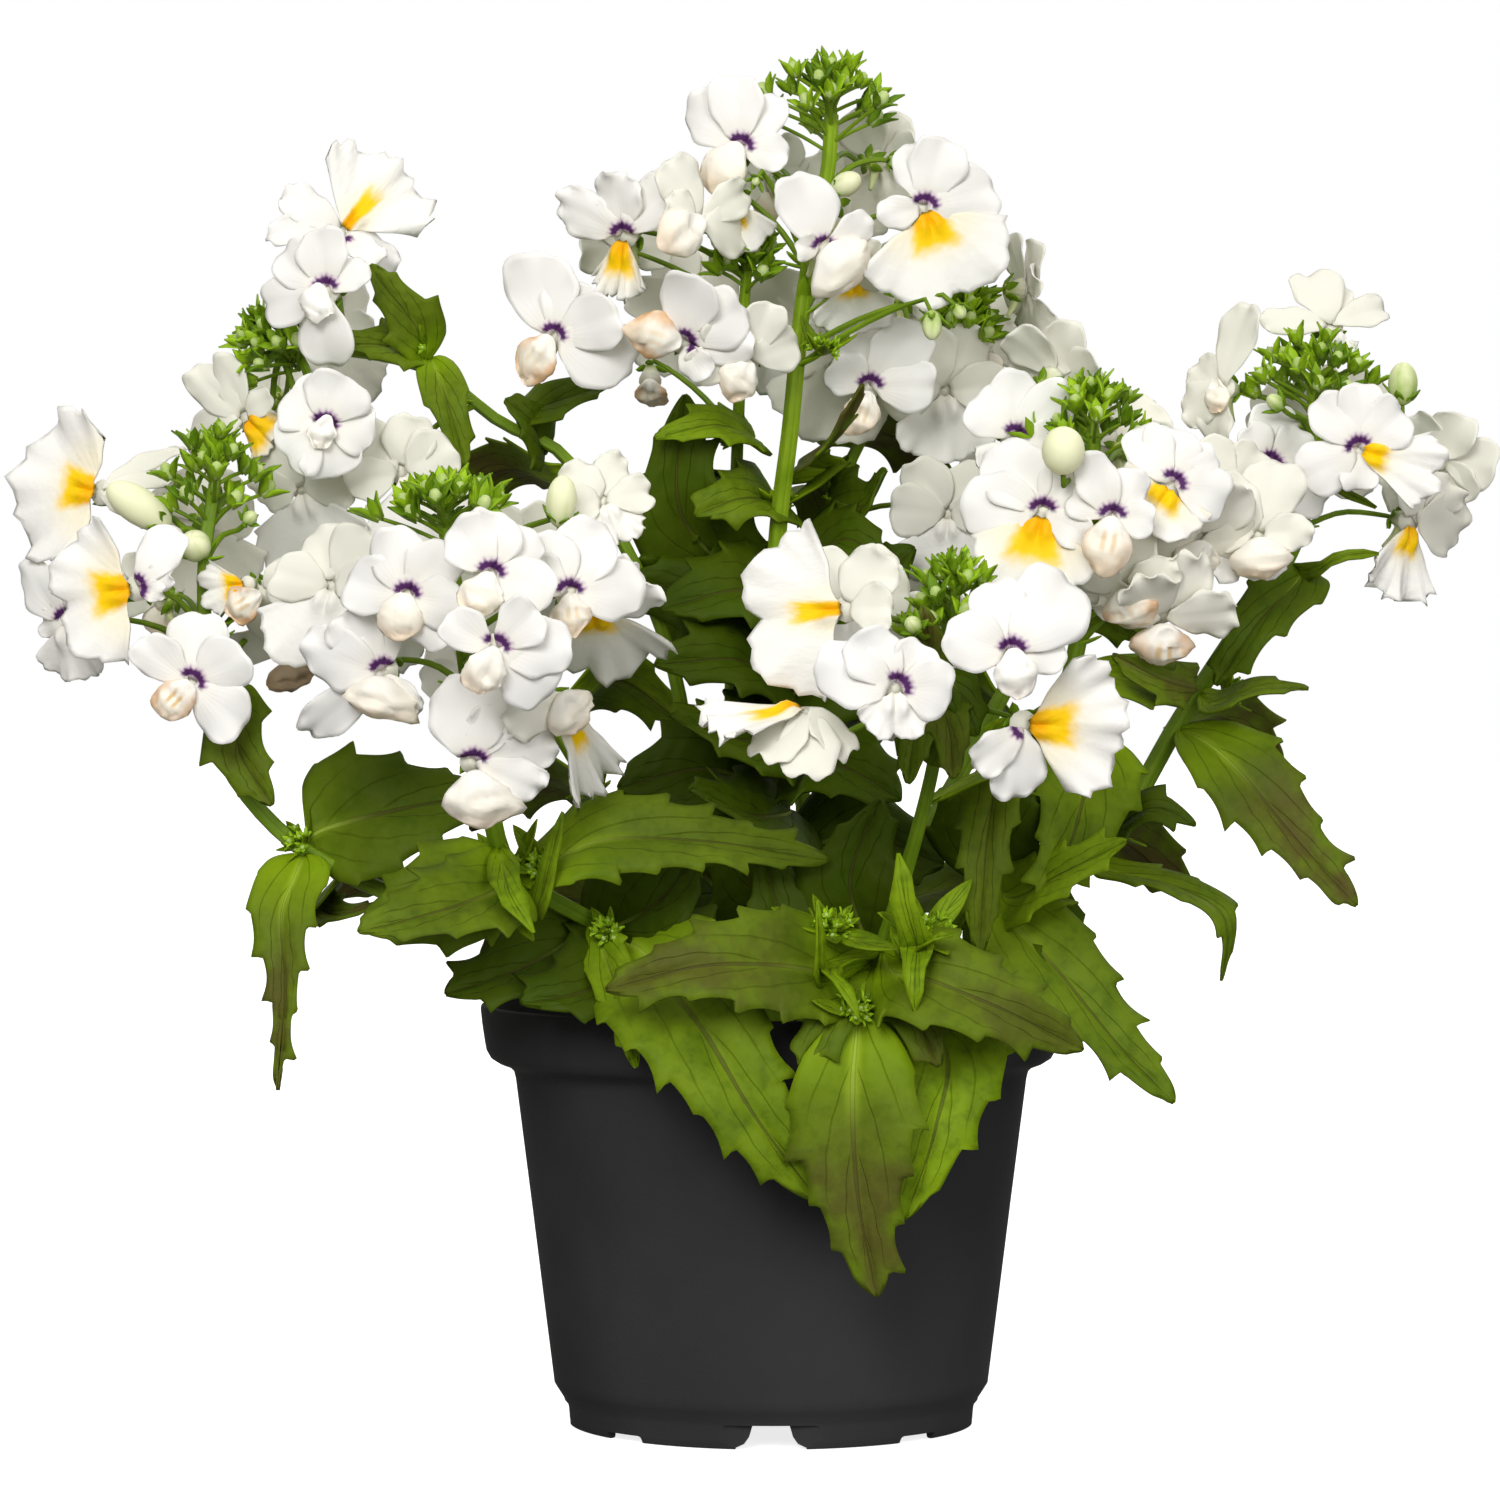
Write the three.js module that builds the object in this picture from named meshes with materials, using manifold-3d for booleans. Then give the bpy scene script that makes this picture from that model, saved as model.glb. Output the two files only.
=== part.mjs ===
// A potted nemesia in flower: a round nursery pot with its soil, twelve flowering stems, the
// largest leaves and the largest flowers. Millimetres, +Z up, -Y towards the viewer, and the
// origin at the centre of the pot's foot, on the surface that the pot stands on.
import * as THREE from "three";
import { mergeVertices } from "three/addons/utils/BufferGeometryUtils.js";
import Module from "manifold-3d";

// The pot
const RIM_RADIUS = 60.6;
const POT_HEIGHT = 87.4;
const RIM_DEPTH = 13.6;
const SHOULDER_RADIUS = 53.4;
const WAIST_RADIUS = 45.2;
const WAIST_HEIGHT = 8.4;
const FOOT_RADIUS = 42.4;
const FOOT_WIDTH = 2.2;
const WALL = 1.4;
const FLOOR_HEIGHT = 5.6;
const POT_SIDES = 36;
const GATE_WIDTH = 20;
const GATE_HEIGHT = 5;
const GATE_RECESS = 0.8;
const NICK_WIDTH = 10;
const NICK_HEIGHT = 1.5;
const DRAIN_RADIUS = 4;
const DRAIN_CIRCLE = 33;

// The soil
const SOIL_TOP = 79;

// The plant
const STEM_RADIUS = 2.2;
const PEDICEL_RADIUS = 0.75;
const LEAF_THICKNESS = 1.0;
const PETAL_THICKNESS = 0.8;
const FLOWER_BACK = 6.4;
const PEDICEL_DROP = 9;

// Pieces that touch on the real plant lie this far apart here
const GAP = 0.3;

// Places are read on a front elevation through the pot's axis, as [across, up, depth]: the eye
// stands this far in front of the axis and this high, and depth runs away from it.
const EYE_DISTANCE = 1100;
const EYE_HEIGHT = 156;

const COLOURS = {
  pot: [0x2b2b2d, 0.55],
  soil: [0x3a2a1e, 0.95],
  stem: [0x6f9a2a, 0.6],
  leaf: [0x557f2c, 0.6],
  petal: [0xf2f2ee, 0.7],
};

// Each stem: where it leaves the soil as [x, y], the route read on the elevation, and the radius
// and height of the head of buds at its tip.
const STEMS = {
  crown: {
    root: [0, 2],
    route: [[1, 180, -4], [4, 207, -14], [7, 236, -15], [12, 262, -8], [12.5, 272, -6]],
    head: [14.5, 19],
  },
  upper_mid: {
    root: [-9, 8],
    route: [[-8, 171, 8], [-7, 204, 4], [-6, 227, -5], [-5, 241, -9]],
    head: [6, 14],
  },
  upper_right: {
    root: [7, 12],
    route: [[8, 171, 14], [13, 190, 14], [19, 205, 12], [29, 217, 10], [40, 228, 8]],
    head: [6, 13],
  },
  upper_left: {
    root: [-16, 0],
    route: [[-17, 138, -4], [-25, 171, -6], [-44, 202, -8], [-56, 208, -10], [-71, 219, -14],
      [-88, 223, -18], [-102, 223, -22]],
    head: [8, 15],
  },
  far_left: {
    root: [-25, -12],
    route: [[-42, 97, -28], [-61, 106, -38], [-79, 110, -44], [-100, 121, -48], [-114, 138, -50],
      [-117, 151, -50], [-118, 180, -48], [-116, 194, -46]],
    head: [11, 22],
  },
  left_centre: {
    root: [-13, -20],
    route: [[-27, 97, -34], [-54, 115, -52], [-59, 130, -62], [-64, 161, -70], [-68, 188, -72]],
    head: [12, 12],
  },
  right_front: {
    root: [14, -34],
    route: [[20, 90, -50], [27, 111, -60], [34, 138, -72], [36, 157, -80], [38, 168, -82]],
    head: [11, 20],
  },
  right_centre: {
    root: [18, -14],
    route: [[37, 102, -20], [55, 132, -26], [64, 163, -29], [67, 188, -30], [67, 206, -32]],
    head: [11, 19],
  },
  far_right: {
    root: [24, 4],
    route: [[40, 95, 0], [56, 111, -4], [71, 123, -4], [85, 146, -2], [96, 163, 0], [108, 181, 2],
      [113, 200, 2], [113, 215, 2]],
    head: [13, 18],
  },
  back_left: {
    root: [-12, 20],
    route: [[-22, 104, 38], [-36, 130, 56], [-50, 155, 72], [-56, 178, 82]],
    head: [8, 16],
  },
  back_right: {
    root: [16, 22],
    route: [[26, 110, 38], [42, 140, 52], [56, 168, 66], [64, 198, 76]],
    head: [8, 16],
  },
  back_mid: {
    root: [2, 30],
    route: [[5, 102, 52], [10, 122, 72], [15, 142, 86], [17, 160, 92]],
    head: [8, 16],
  },
};

// The usual four upper lobes as [direction, length, width]: a direction is in degrees
// anticlockwise from straight up, and the lip's is anticlockwise from straight down
const USUAL_LOBES = [[-86, 12, 11.5], [-29, 13, 12], [29, 13, 12], [86, 12, 11.5]];
const USUAL_POUCH = [9.8, 8.7, 4.8];
const PETAL_STEP = 12;
const THROAT_RADIUS = 4.4;

// The short side shoot that carries the front leaf over the rim
const SIDE_SHOOT = { stem: "right_front", route: [[20, 91, -51], [19, 91, -60], [18, 86, -67]] };
const SIDE_SHOOT_RADIUS = 1.5;

// Each flower: its stem, the throat's place, whether the lower lip is open or still a pouch, the
// size beside a flower 28 mm wide, and how the face is turned in degrees: yaw to the viewer's
// right, pitch upwards, and roll anticlockwise. A yaw of 180 looks away from the viewer. Then
// comes what differs from the usual flower: the upper lobes as direction, length and width, the
// pouch as width, height and how low it hangs, the way that the lip points, the lip's length,
// half its opening in degrees and its lift, and how far the lobes lean forward.
const FLOWERS = {
  crown_flower_1: ["crown", [-6.5, 265.5, -18], "pouch", 1, [-12, 5, -28], {lobes: [[-75, 9, 8],
    [-12, 12.5, 8.5], [32, 14.2, 11.5], [73, 14, 11.5]], pouch: [10.2, 10.5, 5.8], lip: -4}],
  crown_flower_2: ["crown", [32, 253, -26], "open", 1, [10, -5, -15], {lobes: [[-58, 14.8, 13],
    [1, 14, 12], [28, 12.5, 9.5], [118, 9, 7]], lip: 34, long: 20.5, opening: 66}],
  crown_flower_3: ["crown", [11, 244, -30], "pouch", 1, [25, -15, 0], {lobes: [[-62, 12, 8],
    [22, 15.5, 13], [85, 5, 6]], pouch: [16, 10, 5.2], lip: 50}],
  upper_mid_flower_1: ["upper_mid", [-31, 247, -20], "open", 1, [-25, -10, 0], {lobes: [[-45, 14, 10],
    [0, 12.5, 11], [58, 15, 10]], lip: -10, long: 13, opening: 36}],
  upper_mid_flower_2: ["upper_mid", [-45.5, 226, -30], "pouch", 1, [-15, -5, -25],
    {lobes: [[-88, 16.5, 14], [-47, 15, 12], [0, 12, 11], [37, 17, 15.5]], pouch: [9.6, 9.8, 5.8],
    lip: -13}],
  upper_mid_flower_3: ["upper_mid", [-18.5, 224.8, -38], "pouch", 1, [-5, -15, -70],
    {lobes: [[-80, 8, 7], [-25, 14, 9], [12, 14, 13], [58, 14.5, 12]], pouch: [10.6, 10, 6.2],
    lip: -38}],
  upper_right_flower_1: ["upper_right", [20.5, 215.5, -10], "pouch", 1, [5, -10, -8],
    {lobes: [[-80, 13, 11], [-26, 16, 12], [20, 12, 11], [65, 9, 10]], pouch: [8.2, 8.4, 6], lip: -8}],
  upper_left_flower_1: ["upper_left", [-89.2, 248.2, -16], "open", 1, [20, 22, 146],
    {lobes: [[75, 10, 7], [-97, 14, 9], [-56, 15, 7], [100, 13, 8]], long: 20.5, opening: 50}],
  upper_left_flower_2: ["upper_left", [-93, 235.8, -38], "pouch", 1, [-15, 5, 0], {lobes: [[-60, 9, 7],
    [5, 12, 11], [53, 13, 9.5], [103, 14, 10.5], [172, 14, 12]], pouch: [8, 6, 3.5], lip: -25}],
  upper_left_flower_3: ["upper_left", [-110.2, 209.4, -24], "open", 1, [-30, 0, 0],
    {lobes: [[-60, 8, 6], [19, 12.5, 8], [50, 15, 9.5], [108, 16, 9]], lip: 55, long: 10, opening: 42}],
  far_left_flower_1: ["far_left", [-140.4, 194, -42], "open", 1, [-32, 10, -92], {lobes: [[-30, 6, 4],
    [32, 11, 4.5], [67, 13.5, 5]], long: 21, opening: 84, tilt: -38}],
  far_left_flower_2: ["far_left", [-132.8, 173.8, -64], "open", 1, [-20, 0, -80],
    {lobes: [[-20, 6, 4.5], [10, 8, 5.5], [45, 13.5, 9]], long: 17.5, opening: 75}],
  far_left_flower_3: ["far_left", [-147.4, 166.8, -44], "open", 1, [-30, -5, 0], {lobes: [[-60, 6, 6],
    [10, 8, 7], [46, 16.5, 9.5], [98, 7, 6]], lip: 0, long: 12.5, opening: 54, lift: -0.2}],
  far_left_flower_4: ["far_left", [-121, 154, -68], "pouch", 1, [-5, -5, -38], {lobes: [[-92, 13, 12],
    [-22, 12.2, 11.5], [30, 13.3, 12], [88, 12.5, 9]], pouch: [8.4, 8.2, 4.8], lip: -6}],
  left_centre_flower_1: ["left_centre", [-76, 172, -90], "pouch", 1, [-8, 0, -13],
    {lobes: [[-86, 11, 10.5], [-28, 12.5, 11], [28, 13, 11.5], [88, 12.5, 12], [-128, 11.5, 9]],
    pouch: [9.6, 8.2, 4.6], lip: 2}],
  left_centre_flower_2: ["left_centre", [-58.5, 176.5, -100], "pouch", 1, [0, 5, -18],
    {lobes: [[-87, 11.8, 11.5], [-26, 11, 10.5], [12, 11.7, 11], [50, 11.4, 11]],
    pouch: [9.2, 7.6, 4.6]}],
  left_centre_flower_3: ["left_centre", [-42, 172.6, -90], "pouch", 1, [10, 0, -4],
    {lobes: [[-82, 14.4, 12.5], [-12, 14.4, 13], [30, 12, 10.5], [60, 9.5, 9]],
    pouch: [8.6, 6.6, 4.4]}],
  left_centre_flower_4: ["left_centre", [-57.5, 161.2, -108], "pouch", 1, [5, -8, -25],
    {lobes: [[-105, 13.6, 12], [-68, 14, 12], [-22, 10.5, 10], [85, 10.5, 8.5]], pouch: [8.6, 8.6, 5]}],
  left_centre_flower_5: ["left_centre", [-62, 137.2, -88], "pouch", 1, [5, -15, 0],
    {lobes: [[-114, 14, 9], [-80, 16, 9.5], [-22, 11, 9], [7, 15.5, 16]], pouch: [14, 10.4, 7.4],
    lip: 6}],
  left_centre_flower_6: ["left_centre", [-43, 149, -84], "open", 1, [40, -15, 34],
    {lobes: [[60, 13, 12]], pouch: [12, 8.5, 1.5], long: 25, opening: 20, lift: -0.1}],
  right_front_flower_1: ["right_front", [15.4, 169.6, -96], "open", 1, [-20, 5, -76],
    {lobes: [[-15, 9, 10], [46, 12.5, 12]], lip: -8, long: 20.5, opening: 74}],
  right_front_flower_2: ["right_front", [26.2, 153, -110], "open", 1, [14, -5, -42],
    {lobes: [[-48, 10.5, 12], [4, 9.5, 9.5], [76, 12, 11.5], [118, 14.8, 12.5]], lip: 40, long: 10,
    opening: 60}],
  right_front_flower_3: ["right_front", [50.2, 160.4, -104], "pouch", 1, [5, 0, -4],
    {lobes: [[-38, 18, 16], [-86, 10, 9.5], [22, 13.5, 11], [80, 12.5, 12]], pouch: [9, 8, 4.4],
    lip: 12}],
  right_front_flower_4: ["right_front", [52.8, 145.2, -94], "open", 1, [10, -8, 92],
    {lobes: [[41, 12, 8], [86, 14.5, 10.5]], lip: -2, long: 20, opening: 56}],
  right_centre_flower_1: ["right_centre", [56.5, 189.6, -54], "open", 1, [-4, 0, -4],
    {lobes: [[-114, 10, 7.5], [-36, 11.5, 12], [38, 15.6, 14.5], [84, 15.5, 14.5]], lip: -8, long: 17.5,
    opening: 60}],
  right_centre_flower_2: ["right_centre", [83.5, 195.4, -48], "open", 1, [8, 5, -40],
    {lobes: [[-62, 11.8, 11.5], [-17, 10.5, 9.5], [36, 11.2, 12], [72, 13, 10]], lip: 8, long: 11.5,
    opening: 84}],
  right_centre_flower_3: ["right_centre", [82, 167.5, -42], "pouch", 1, [10, -40, 0],
    {lobes: [[-80, 14, 12], [-20, 14, 12], [30, 14, 12], [85, 13, 11]], pouch: [13, 9, 6.5]}],
  far_right_flower_1: ["far_right", [116.7, 228.6, 8], "open", 1, [5, 25, 0], {lobes: [[14, 13.5, 11],
    [-14, 11, 8.5], [86, 14.5, 7], [-62, 14.5, 7.5]], long: 8, opening: 45}],
  far_right_flower_2: ["far_right", [122.4, 202.6, -22], "open", 1, [6, 0, 20], {lobes: [[17, 13, 9.8],
    [-22, 13.1, 9.8], [-70, 12, 11], [98, 12.5, 11.5], [165, 8, 8]], lip: 52, long: 18, opening: 32}],
  far_right_flower_3: ["far_right", [133.8, 187.4, 0], "open", 1, [34, -10, -20],
    {lobes: [[-70, 16, 14], [-30, 13, 12], [30, 9, 8]], lip: 6, long: 17, opening: 42}],
  far_right_flower_4: ["far_right", [139, 200.5, 12], "open", 0.9, [150, 10, 70]],
  back_left_flower_1: ["back_left", [-60, 176, 106], "open", 1.05, [200, 0, 0]],
  back_right_flower_1: ["back_right", [70, 196, 100], "open", 1.05, [155, 0, 0]],
  back_mid_flower_1: ["back_mid", [20, 158, 114], "open", 1.05, [180, -5, 0]],
};

// Each leaf: its stem, the midrib from stalk to tip, its width, and the way that its upper side
// looks as [x, y, z].
const LEAVES = {
  front_leaf_over_rim: ["right_front", [[18, 83, -69], [17, 70, -72], [18, 48, -72], [22, 26, -69]], 25,
    [0, -1, 0.15]],
  front_leaf_left: ["right_front", [[16, 93, -60], [2, 95, -72], [-14, 95, -78], [-34.5, 90, -76]], 23,
    [0, -0.9, 0.35]],
  front_leaf_right: ["right_front", [[25, 94, -60], [33, 92, -74], [48, 86, -76], [65, 77.5, -68]], 22,
    [0.1, -0.9, 0.35]],
  left_front_leaf_over_rim: ["left_centre", [[-27, 98, -46], [-22, 91, -60], [-14.5, 82, -68],
    [-3, 63, -72], [10, 46, -68]], 30, [0.1, -1, 0.35]],
  centre_leaf: ["left_centre", [[-50, 115, -58], [-36, 121, -62], [-14, 121, -62], [12, 117, -56]], 18,
    [0, -0.75, 0.65]],
  left_leaf: ["left_centre", [[-56, 112, -62], [-64, 108, -72], [-74, 105, -78], [-86, 102, -80]], 22,
    [0, -0.85, 0.5]],
  left_drooping_leaf: ["far_left", [[-99, 114, -54], [-102, 106, -60], [-101.5, 90, -64],
    [-103, 69, -64]], 15, [-0.2, -1, 0.2]],
  right_drooping_leaf: ["right_centre", [[48.6, 106, -34], [59.5, 94.3, -42], [71.7, 79.3, -46],
    [84, 66.4, -48]], 21, [0.3, -0.9, 0.5]],
  right_curled_leaf: ["far_right", [[70, 115, -10], [84.3, 111.6, -16], [94.4, 105.2, -18],
    [94, 92, -16]], 11, [0.2, -0.7, 0.8]],
  right_serrated_leaf: ["far_right", [[90, 142, -8], [97, 136, -14], [108, 123, -18],
    [122, 107.5, -20]], 18, [0.1, -0.95, 0.4]],
  upper_left_leaf: ["upper_left", [[-72, 224, -18], [-76, 231, -23], [-80, 236, -25],
    [-83.5, 241, -26]], 12, [0.3, -1, 0.2]],
  back_leaf_over_rim: ["back_mid", [[2, 103, 58], [-4, 104, 68], [-14, 92, 80], [-28, 62, 84]], 26,
    [-0.1, 1, 0.3]],
};

const wasm = await Module();
wasm.setup();

// A closed solid from a geometry, with its shared points merged and its faces turned outwards
function solidOf(geometry) {
  const bare = geometry.clone();
  bare.deleteAttribute("normal");
  bare.deleteAttribute("uv");
  const merged = mergeVertices(bare, 1e-4);
  const points = merged.attributes.position;
  const corners = Uint32Array.from(merged.index.array);
  if (signedVolume(points, corners) < 0) {
    for (let i = 0; i < corners.length; i += 3) {
      const first = corners[i];
      corners[i] = corners[i + 1];
      corners[i + 1] = first;
    }
  }
  return new wasm.Manifold(new wasm.Mesh({
    numProp: 3,
    vertProperties: Float32Array.from(points.array),
    triVerts: corners,
  }));
}

function signedVolume(points, corners) {
  const [a, b, c] = [new THREE.Vector3(), new THREE.Vector3(), new THREE.Vector3()];
  let total = 0;
  for (let i = 0; i < corners.length; i += 3) {
    a.fromBufferAttribute(points, corners[i]);
    b.fromBufferAttribute(points, corners[i + 1]);
    c.fromBufferAttribute(points, corners[i + 2]);
    total += a.dot(b.cross(c)) / 6;
  }
  return total;
}

function geometryOf(solid) {
  const mesh = solid.getMesh();
  const geometry = new THREE.BufferGeometry();
  geometry.setAttribute("position", new THREE.BufferAttribute(mesh.vertProperties, 3));
  geometry.setIndex(new THREE.BufferAttribute(mesh.triVerts, 1));
  geometry.computeVertexNormals();
  return geometry;
}

// The largest of the bodies that a cut leaves
function largestBody(solid) {
  const bodies = solid.decompose();
  return bodies.reduce((best, body) => (body.volume() > best.volume() ? body : best));
}

function union(solids) {
  return solids.reduce((whole, solid) => whole.add(solid));
}

// A point given on the front elevation, moved along the line of sight to its depth
function onSightLine([across, up, depth]) {
  const reach = (EYE_DISTANCE + depth) / EYE_DISTANCE;
  return new THREE.Vector3(across * reach, depth, EYE_HEIGHT + (up - EYE_HEIGHT) * reach);
}

function tube(curve, radius, steps, sides) {
  const corners = [];
  for (let side = 0; side < sides; side += 1) {
    const angle = (side / sides) * Math.PI * 2;
    corners.push(new THREE.Vector2(Math.cos(angle), Math.sin(angle)).multiplyScalar(radius));
  }
  const section = new THREE.Shape(corners);
  return solidOf(new THREE.ExtrudeGeometry(section, { steps, extrudePath: curve }));
}

function lathe(profile, sides) {
  const outline = profile.map(([radius, height]) => new THREE.Vector2(radius, height));
  const turned = new THREE.LatheGeometry(outline, sides);
  turned.rotateX(Math.PI / 2);
  return solidOf(turned);
}

// The pot's outside from the foot up to the rim, as [radius, height]
function potOutside() {
  const lip = POT_HEIGHT - RIM_DEPTH;
  return [
    [FOOT_RADIUS - 0.6, 0],
    [FOOT_RADIUS, 0.8],
    [FOOT_RADIUS + 0.6, WAIST_HEIGHT - 3],
    [WAIST_RADIUS, WAIST_HEIGHT],
    [SHOULDER_RADIUS, lip],
    [RIM_RADIUS - 3.2, lip + 1.7],
    [RIM_RADIUS - 1.2, lip + 4.2],
    [RIM_RADIUS, POT_HEIGHT - 0.6],
    [RIM_RADIUS - 0.6, POT_HEIGHT],
  ];
}

// The pot's inside from the rim down to the floor
function potInside() {
  const lip = POT_HEIGHT - RIM_DEPTH;
  return [
    [RIM_RADIUS - WALL, POT_HEIGHT - 0.4],
    [RIM_RADIUS - WALL - 1.2, lip + 4.6],
    [SHOULDER_RADIUS - WALL, lip + 1.2],
    [WAIST_RADIUS - WALL, WAIST_HEIGHT + 1.2],
    [FOOT_RADIUS - 1.4, FLOOR_HEIGHT + WALL],
    [0, FLOOR_HEIGHT + WALL],
  ];
}

// The opening of a gate, as [across, height]: a bell that is widest at the surface
const GATE_BELL = [[-7.3, -1], [-7.1, 0.4], [-5.4, 1.2], [-4.4, 2.6], [-3.7, GATE_HEIGHT],
  [3.7, GATE_HEIGHT], [4.4, 2.6], [5.4, 1.2], [7.1, 0.4], [7.3, -1]];

// At a gate, the foot ring is first set back and then cut through in the shape of a bell
function makePot() {
  const underside = [[0, FLOOR_HEIGHT], [FOOT_RADIUS - FOOT_WIDTH, FLOOR_HEIGHT],
    [FOOT_RADIUS - FOOT_WIDTH, 0]];
  let pot = lathe([...underside, ...potOutside(), ...potInside()], POT_SIDES);
  const recess = new THREE.BoxGeometry(GATE_WIDTH, FOOT_RADIUS, GATE_HEIGHT * 2);
  recess.translate(0, -1.5 * FOOT_RADIUS + GATE_RECESS, 0);
  const bell = new THREE.Shape(GATE_BELL.map(([across, height]) => new THREE.Vector2(across, height)));
  const gate = new THREE.ExtrudeGeometry(bell, { depth: 4 * FOOT_WIDTH, bevelEnabled: false });
  gate.rotateX(Math.PI / 2).translate(0, -FOOT_RADIUS + 2 * FOOT_WIDTH, 0);
  const nick = new THREE.BoxGeometry(NICK_WIDTH, 4 * FOOT_WIDTH, NICK_HEIGHT * 2);
  nick.translate(0, -FOOT_RADIUS, 0);
  const drain = new THREE.CylinderGeometry(DRAIN_RADIUS, DRAIN_RADIUS, FLOOR_HEIGHT * 3, 10);
  drain.rotateX(Math.PI / 2);
  drain.translate(0, -DRAIN_CIRCLE, FLOOR_HEIGHT);
  for (let quarter = 0; quarter < 4; quarter += 1) {
    pot = pot.subtract(solidOf(recess.clone().rotateZ(quarter * Math.PI / 2)));
    pot = pot.subtract(solidOf(gate.clone().rotateZ(quarter * Math.PI / 2)));
    pot = pot.subtract(solidOf(nick.clone().rotateZ((quarter + 0.5) * Math.PI / 2)));
    pot = pot.subtract(solidOf(drain.clone().rotateZ(quarter * Math.PI / 2)));
  }
  return pot;
}

// The block of soil fills the pot up to just below the rim
function makeSoil() {
  const slope = (SHOULDER_RADIUS - WAIST_RADIUS) / (POT_HEIGHT - RIM_DEPTH - WAIST_HEIGHT);
  const base = FLOOR_HEIGHT + WALL + GAP;
  const shoulder = POT_HEIGHT - RIM_DEPTH;
  const wide = SHOULDER_RADIUS - WALL - 2 * GAP;
  const narrow = wide - slope * (shoulder - WAIST_HEIGHT);
  const profile = [[0, base], [FOOT_RADIUS - 2.4, base], [narrow, WAIST_HEIGHT + 1.8],
    [wide, shoulder + 1.2], [RIM_RADIUS - WALL - 2.4, SOIL_TOP], [0, SOIL_TOP]];
  return lathe(profile, POT_SIDES);
}

function stemCurve(name) {
  const stem = STEMS[name];
  const route = [new THREE.Vector3(...stem.root, SOIL_TOP - 4), ...stem.route.map(onSightLine)];
  return new THREE.CatmullRomCurve3(route);
}

// The throat, and the three directions that a flower's own x, y and z point in
function flowerFrame(place, [yaw, pitch, roll]) {
  const turn = THREE.MathUtils.degToRad(yaw);
  const lift = THREE.MathUtils.degToRad(pitch);
  const face = new THREE.Vector3(Math.sin(turn) * Math.cos(lift), -Math.cos(turn) * Math.cos(lift),
    Math.sin(lift));
  const right = new THREE.Vector3(Math.cos(turn), Math.sin(turn), 0);
  right.applyAxisAngle(face, THREE.MathUtils.degToRad(roll));
  const up = new THREE.Vector3().crossVectors(face, right);
  return new THREE.Matrix4().makeBasis(right, up, face).setPosition(onSightLine(place));
}

// The point of a stem that a stalk to this place leaves from
function stalkRoot(curve, place, drop) {
  const target = place.clone();
  target.z -= drop;
  let best = null;
  for (const point of curve.getSpacedPoints(60).slice(4)) {
    if (best === null || point.distanceTo(target) < best.distanceTo(target)) {
      best = point;
    }
  }
  return best;
}

// The flower's stalk leaves the stem upwards and meets the flower from behind
function pedicelCurve(curve, frame, size) {
  const throat = new THREE.Vector3().setFromMatrixPosition(frame);
  const end = new THREE.Vector3(0, 0, -FLOWER_BACK * size - GAP).applyMatrix4(frame);
  const lead = new THREE.Vector3(0, 0, -FLOWER_BACK * size - GAP - 3).applyMatrix4(frame);
  const root = stalkRoot(curve, throat, PEDICEL_DROP);
  const elbow = root.clone().lerp(lead, 0.5);
  elbow.z += 2;
  return new THREE.CatmullRomCurve3([root, elbow, lead, end]);
}

function bloomsOf(name) {
  return Object.values(FLOWERS).filter(([stem]) => stem === name);
}

// One stem with the stalks of its flowers and the head of buds at its tip, grown by a margin
// when it clears other pieces
function makeStem(name, margin = 0) {
  const curve = stemCurve(name);
  const [headRadius, headHeight] = STEMS[name].head;
  const steps = Math.ceil(curve.getLength() / 14);
  const parts = [tube(curve, STEM_RADIUS + margin, steps, 4)];
  for (const [, place, , size, turns] of bloomsOf(name)) {
    const frame = flowerFrame(place, turns);
    parts.push(tube(pedicelCurve(curve, frame, size), PEDICEL_RADIUS + margin, 5, 4));
  }
  const half = headHeight / 2 + margin;
  const wide = headRadius + margin;
  const head = new THREE.LatheGeometry([[0, -half], [wide * 0.7, -half * 0.6], [wide, 0],
    [wide * 0.6, half * 0.6], [0, half]].map(([r, h]) => new THREE.Vector2(r, h)), 7);
  head.rotateX(Math.PI / 2);
  const tip = curve.getPoint(1);
  head.translate(tip.x, tip.y, tip.z);
  parts.push(solidOf(head));
  if (SIDE_SHOOT.stem === name) {
    const shoot = new THREE.CatmullRomCurve3(SIDE_SHOOT.route.map(onSightLine));
    parts.push(tube(shoot, SIDE_SHOOT_RADIUS + margin, 4, 4));
  }
  const ground = new THREE.BoxGeometry(RIM_RADIUS * 2, RIM_RADIUS * 2, SOIL_TOP);
  ground.translate(0, 0, SOIL_TOP / 2 + GAP);
  return union(parts).subtract(solidOf(ground));
}

// Half the width of a leaf along its length, from a narrow stalk to a pointed tip
function leafHalfWidth(along, width) {
  const blade = Math.sin(Math.PI * along ** 0.62) ** 1.1;
  return Math.max(blade, 0.14 * (1 - along)) * width / 2 + 0.25;
}

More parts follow.
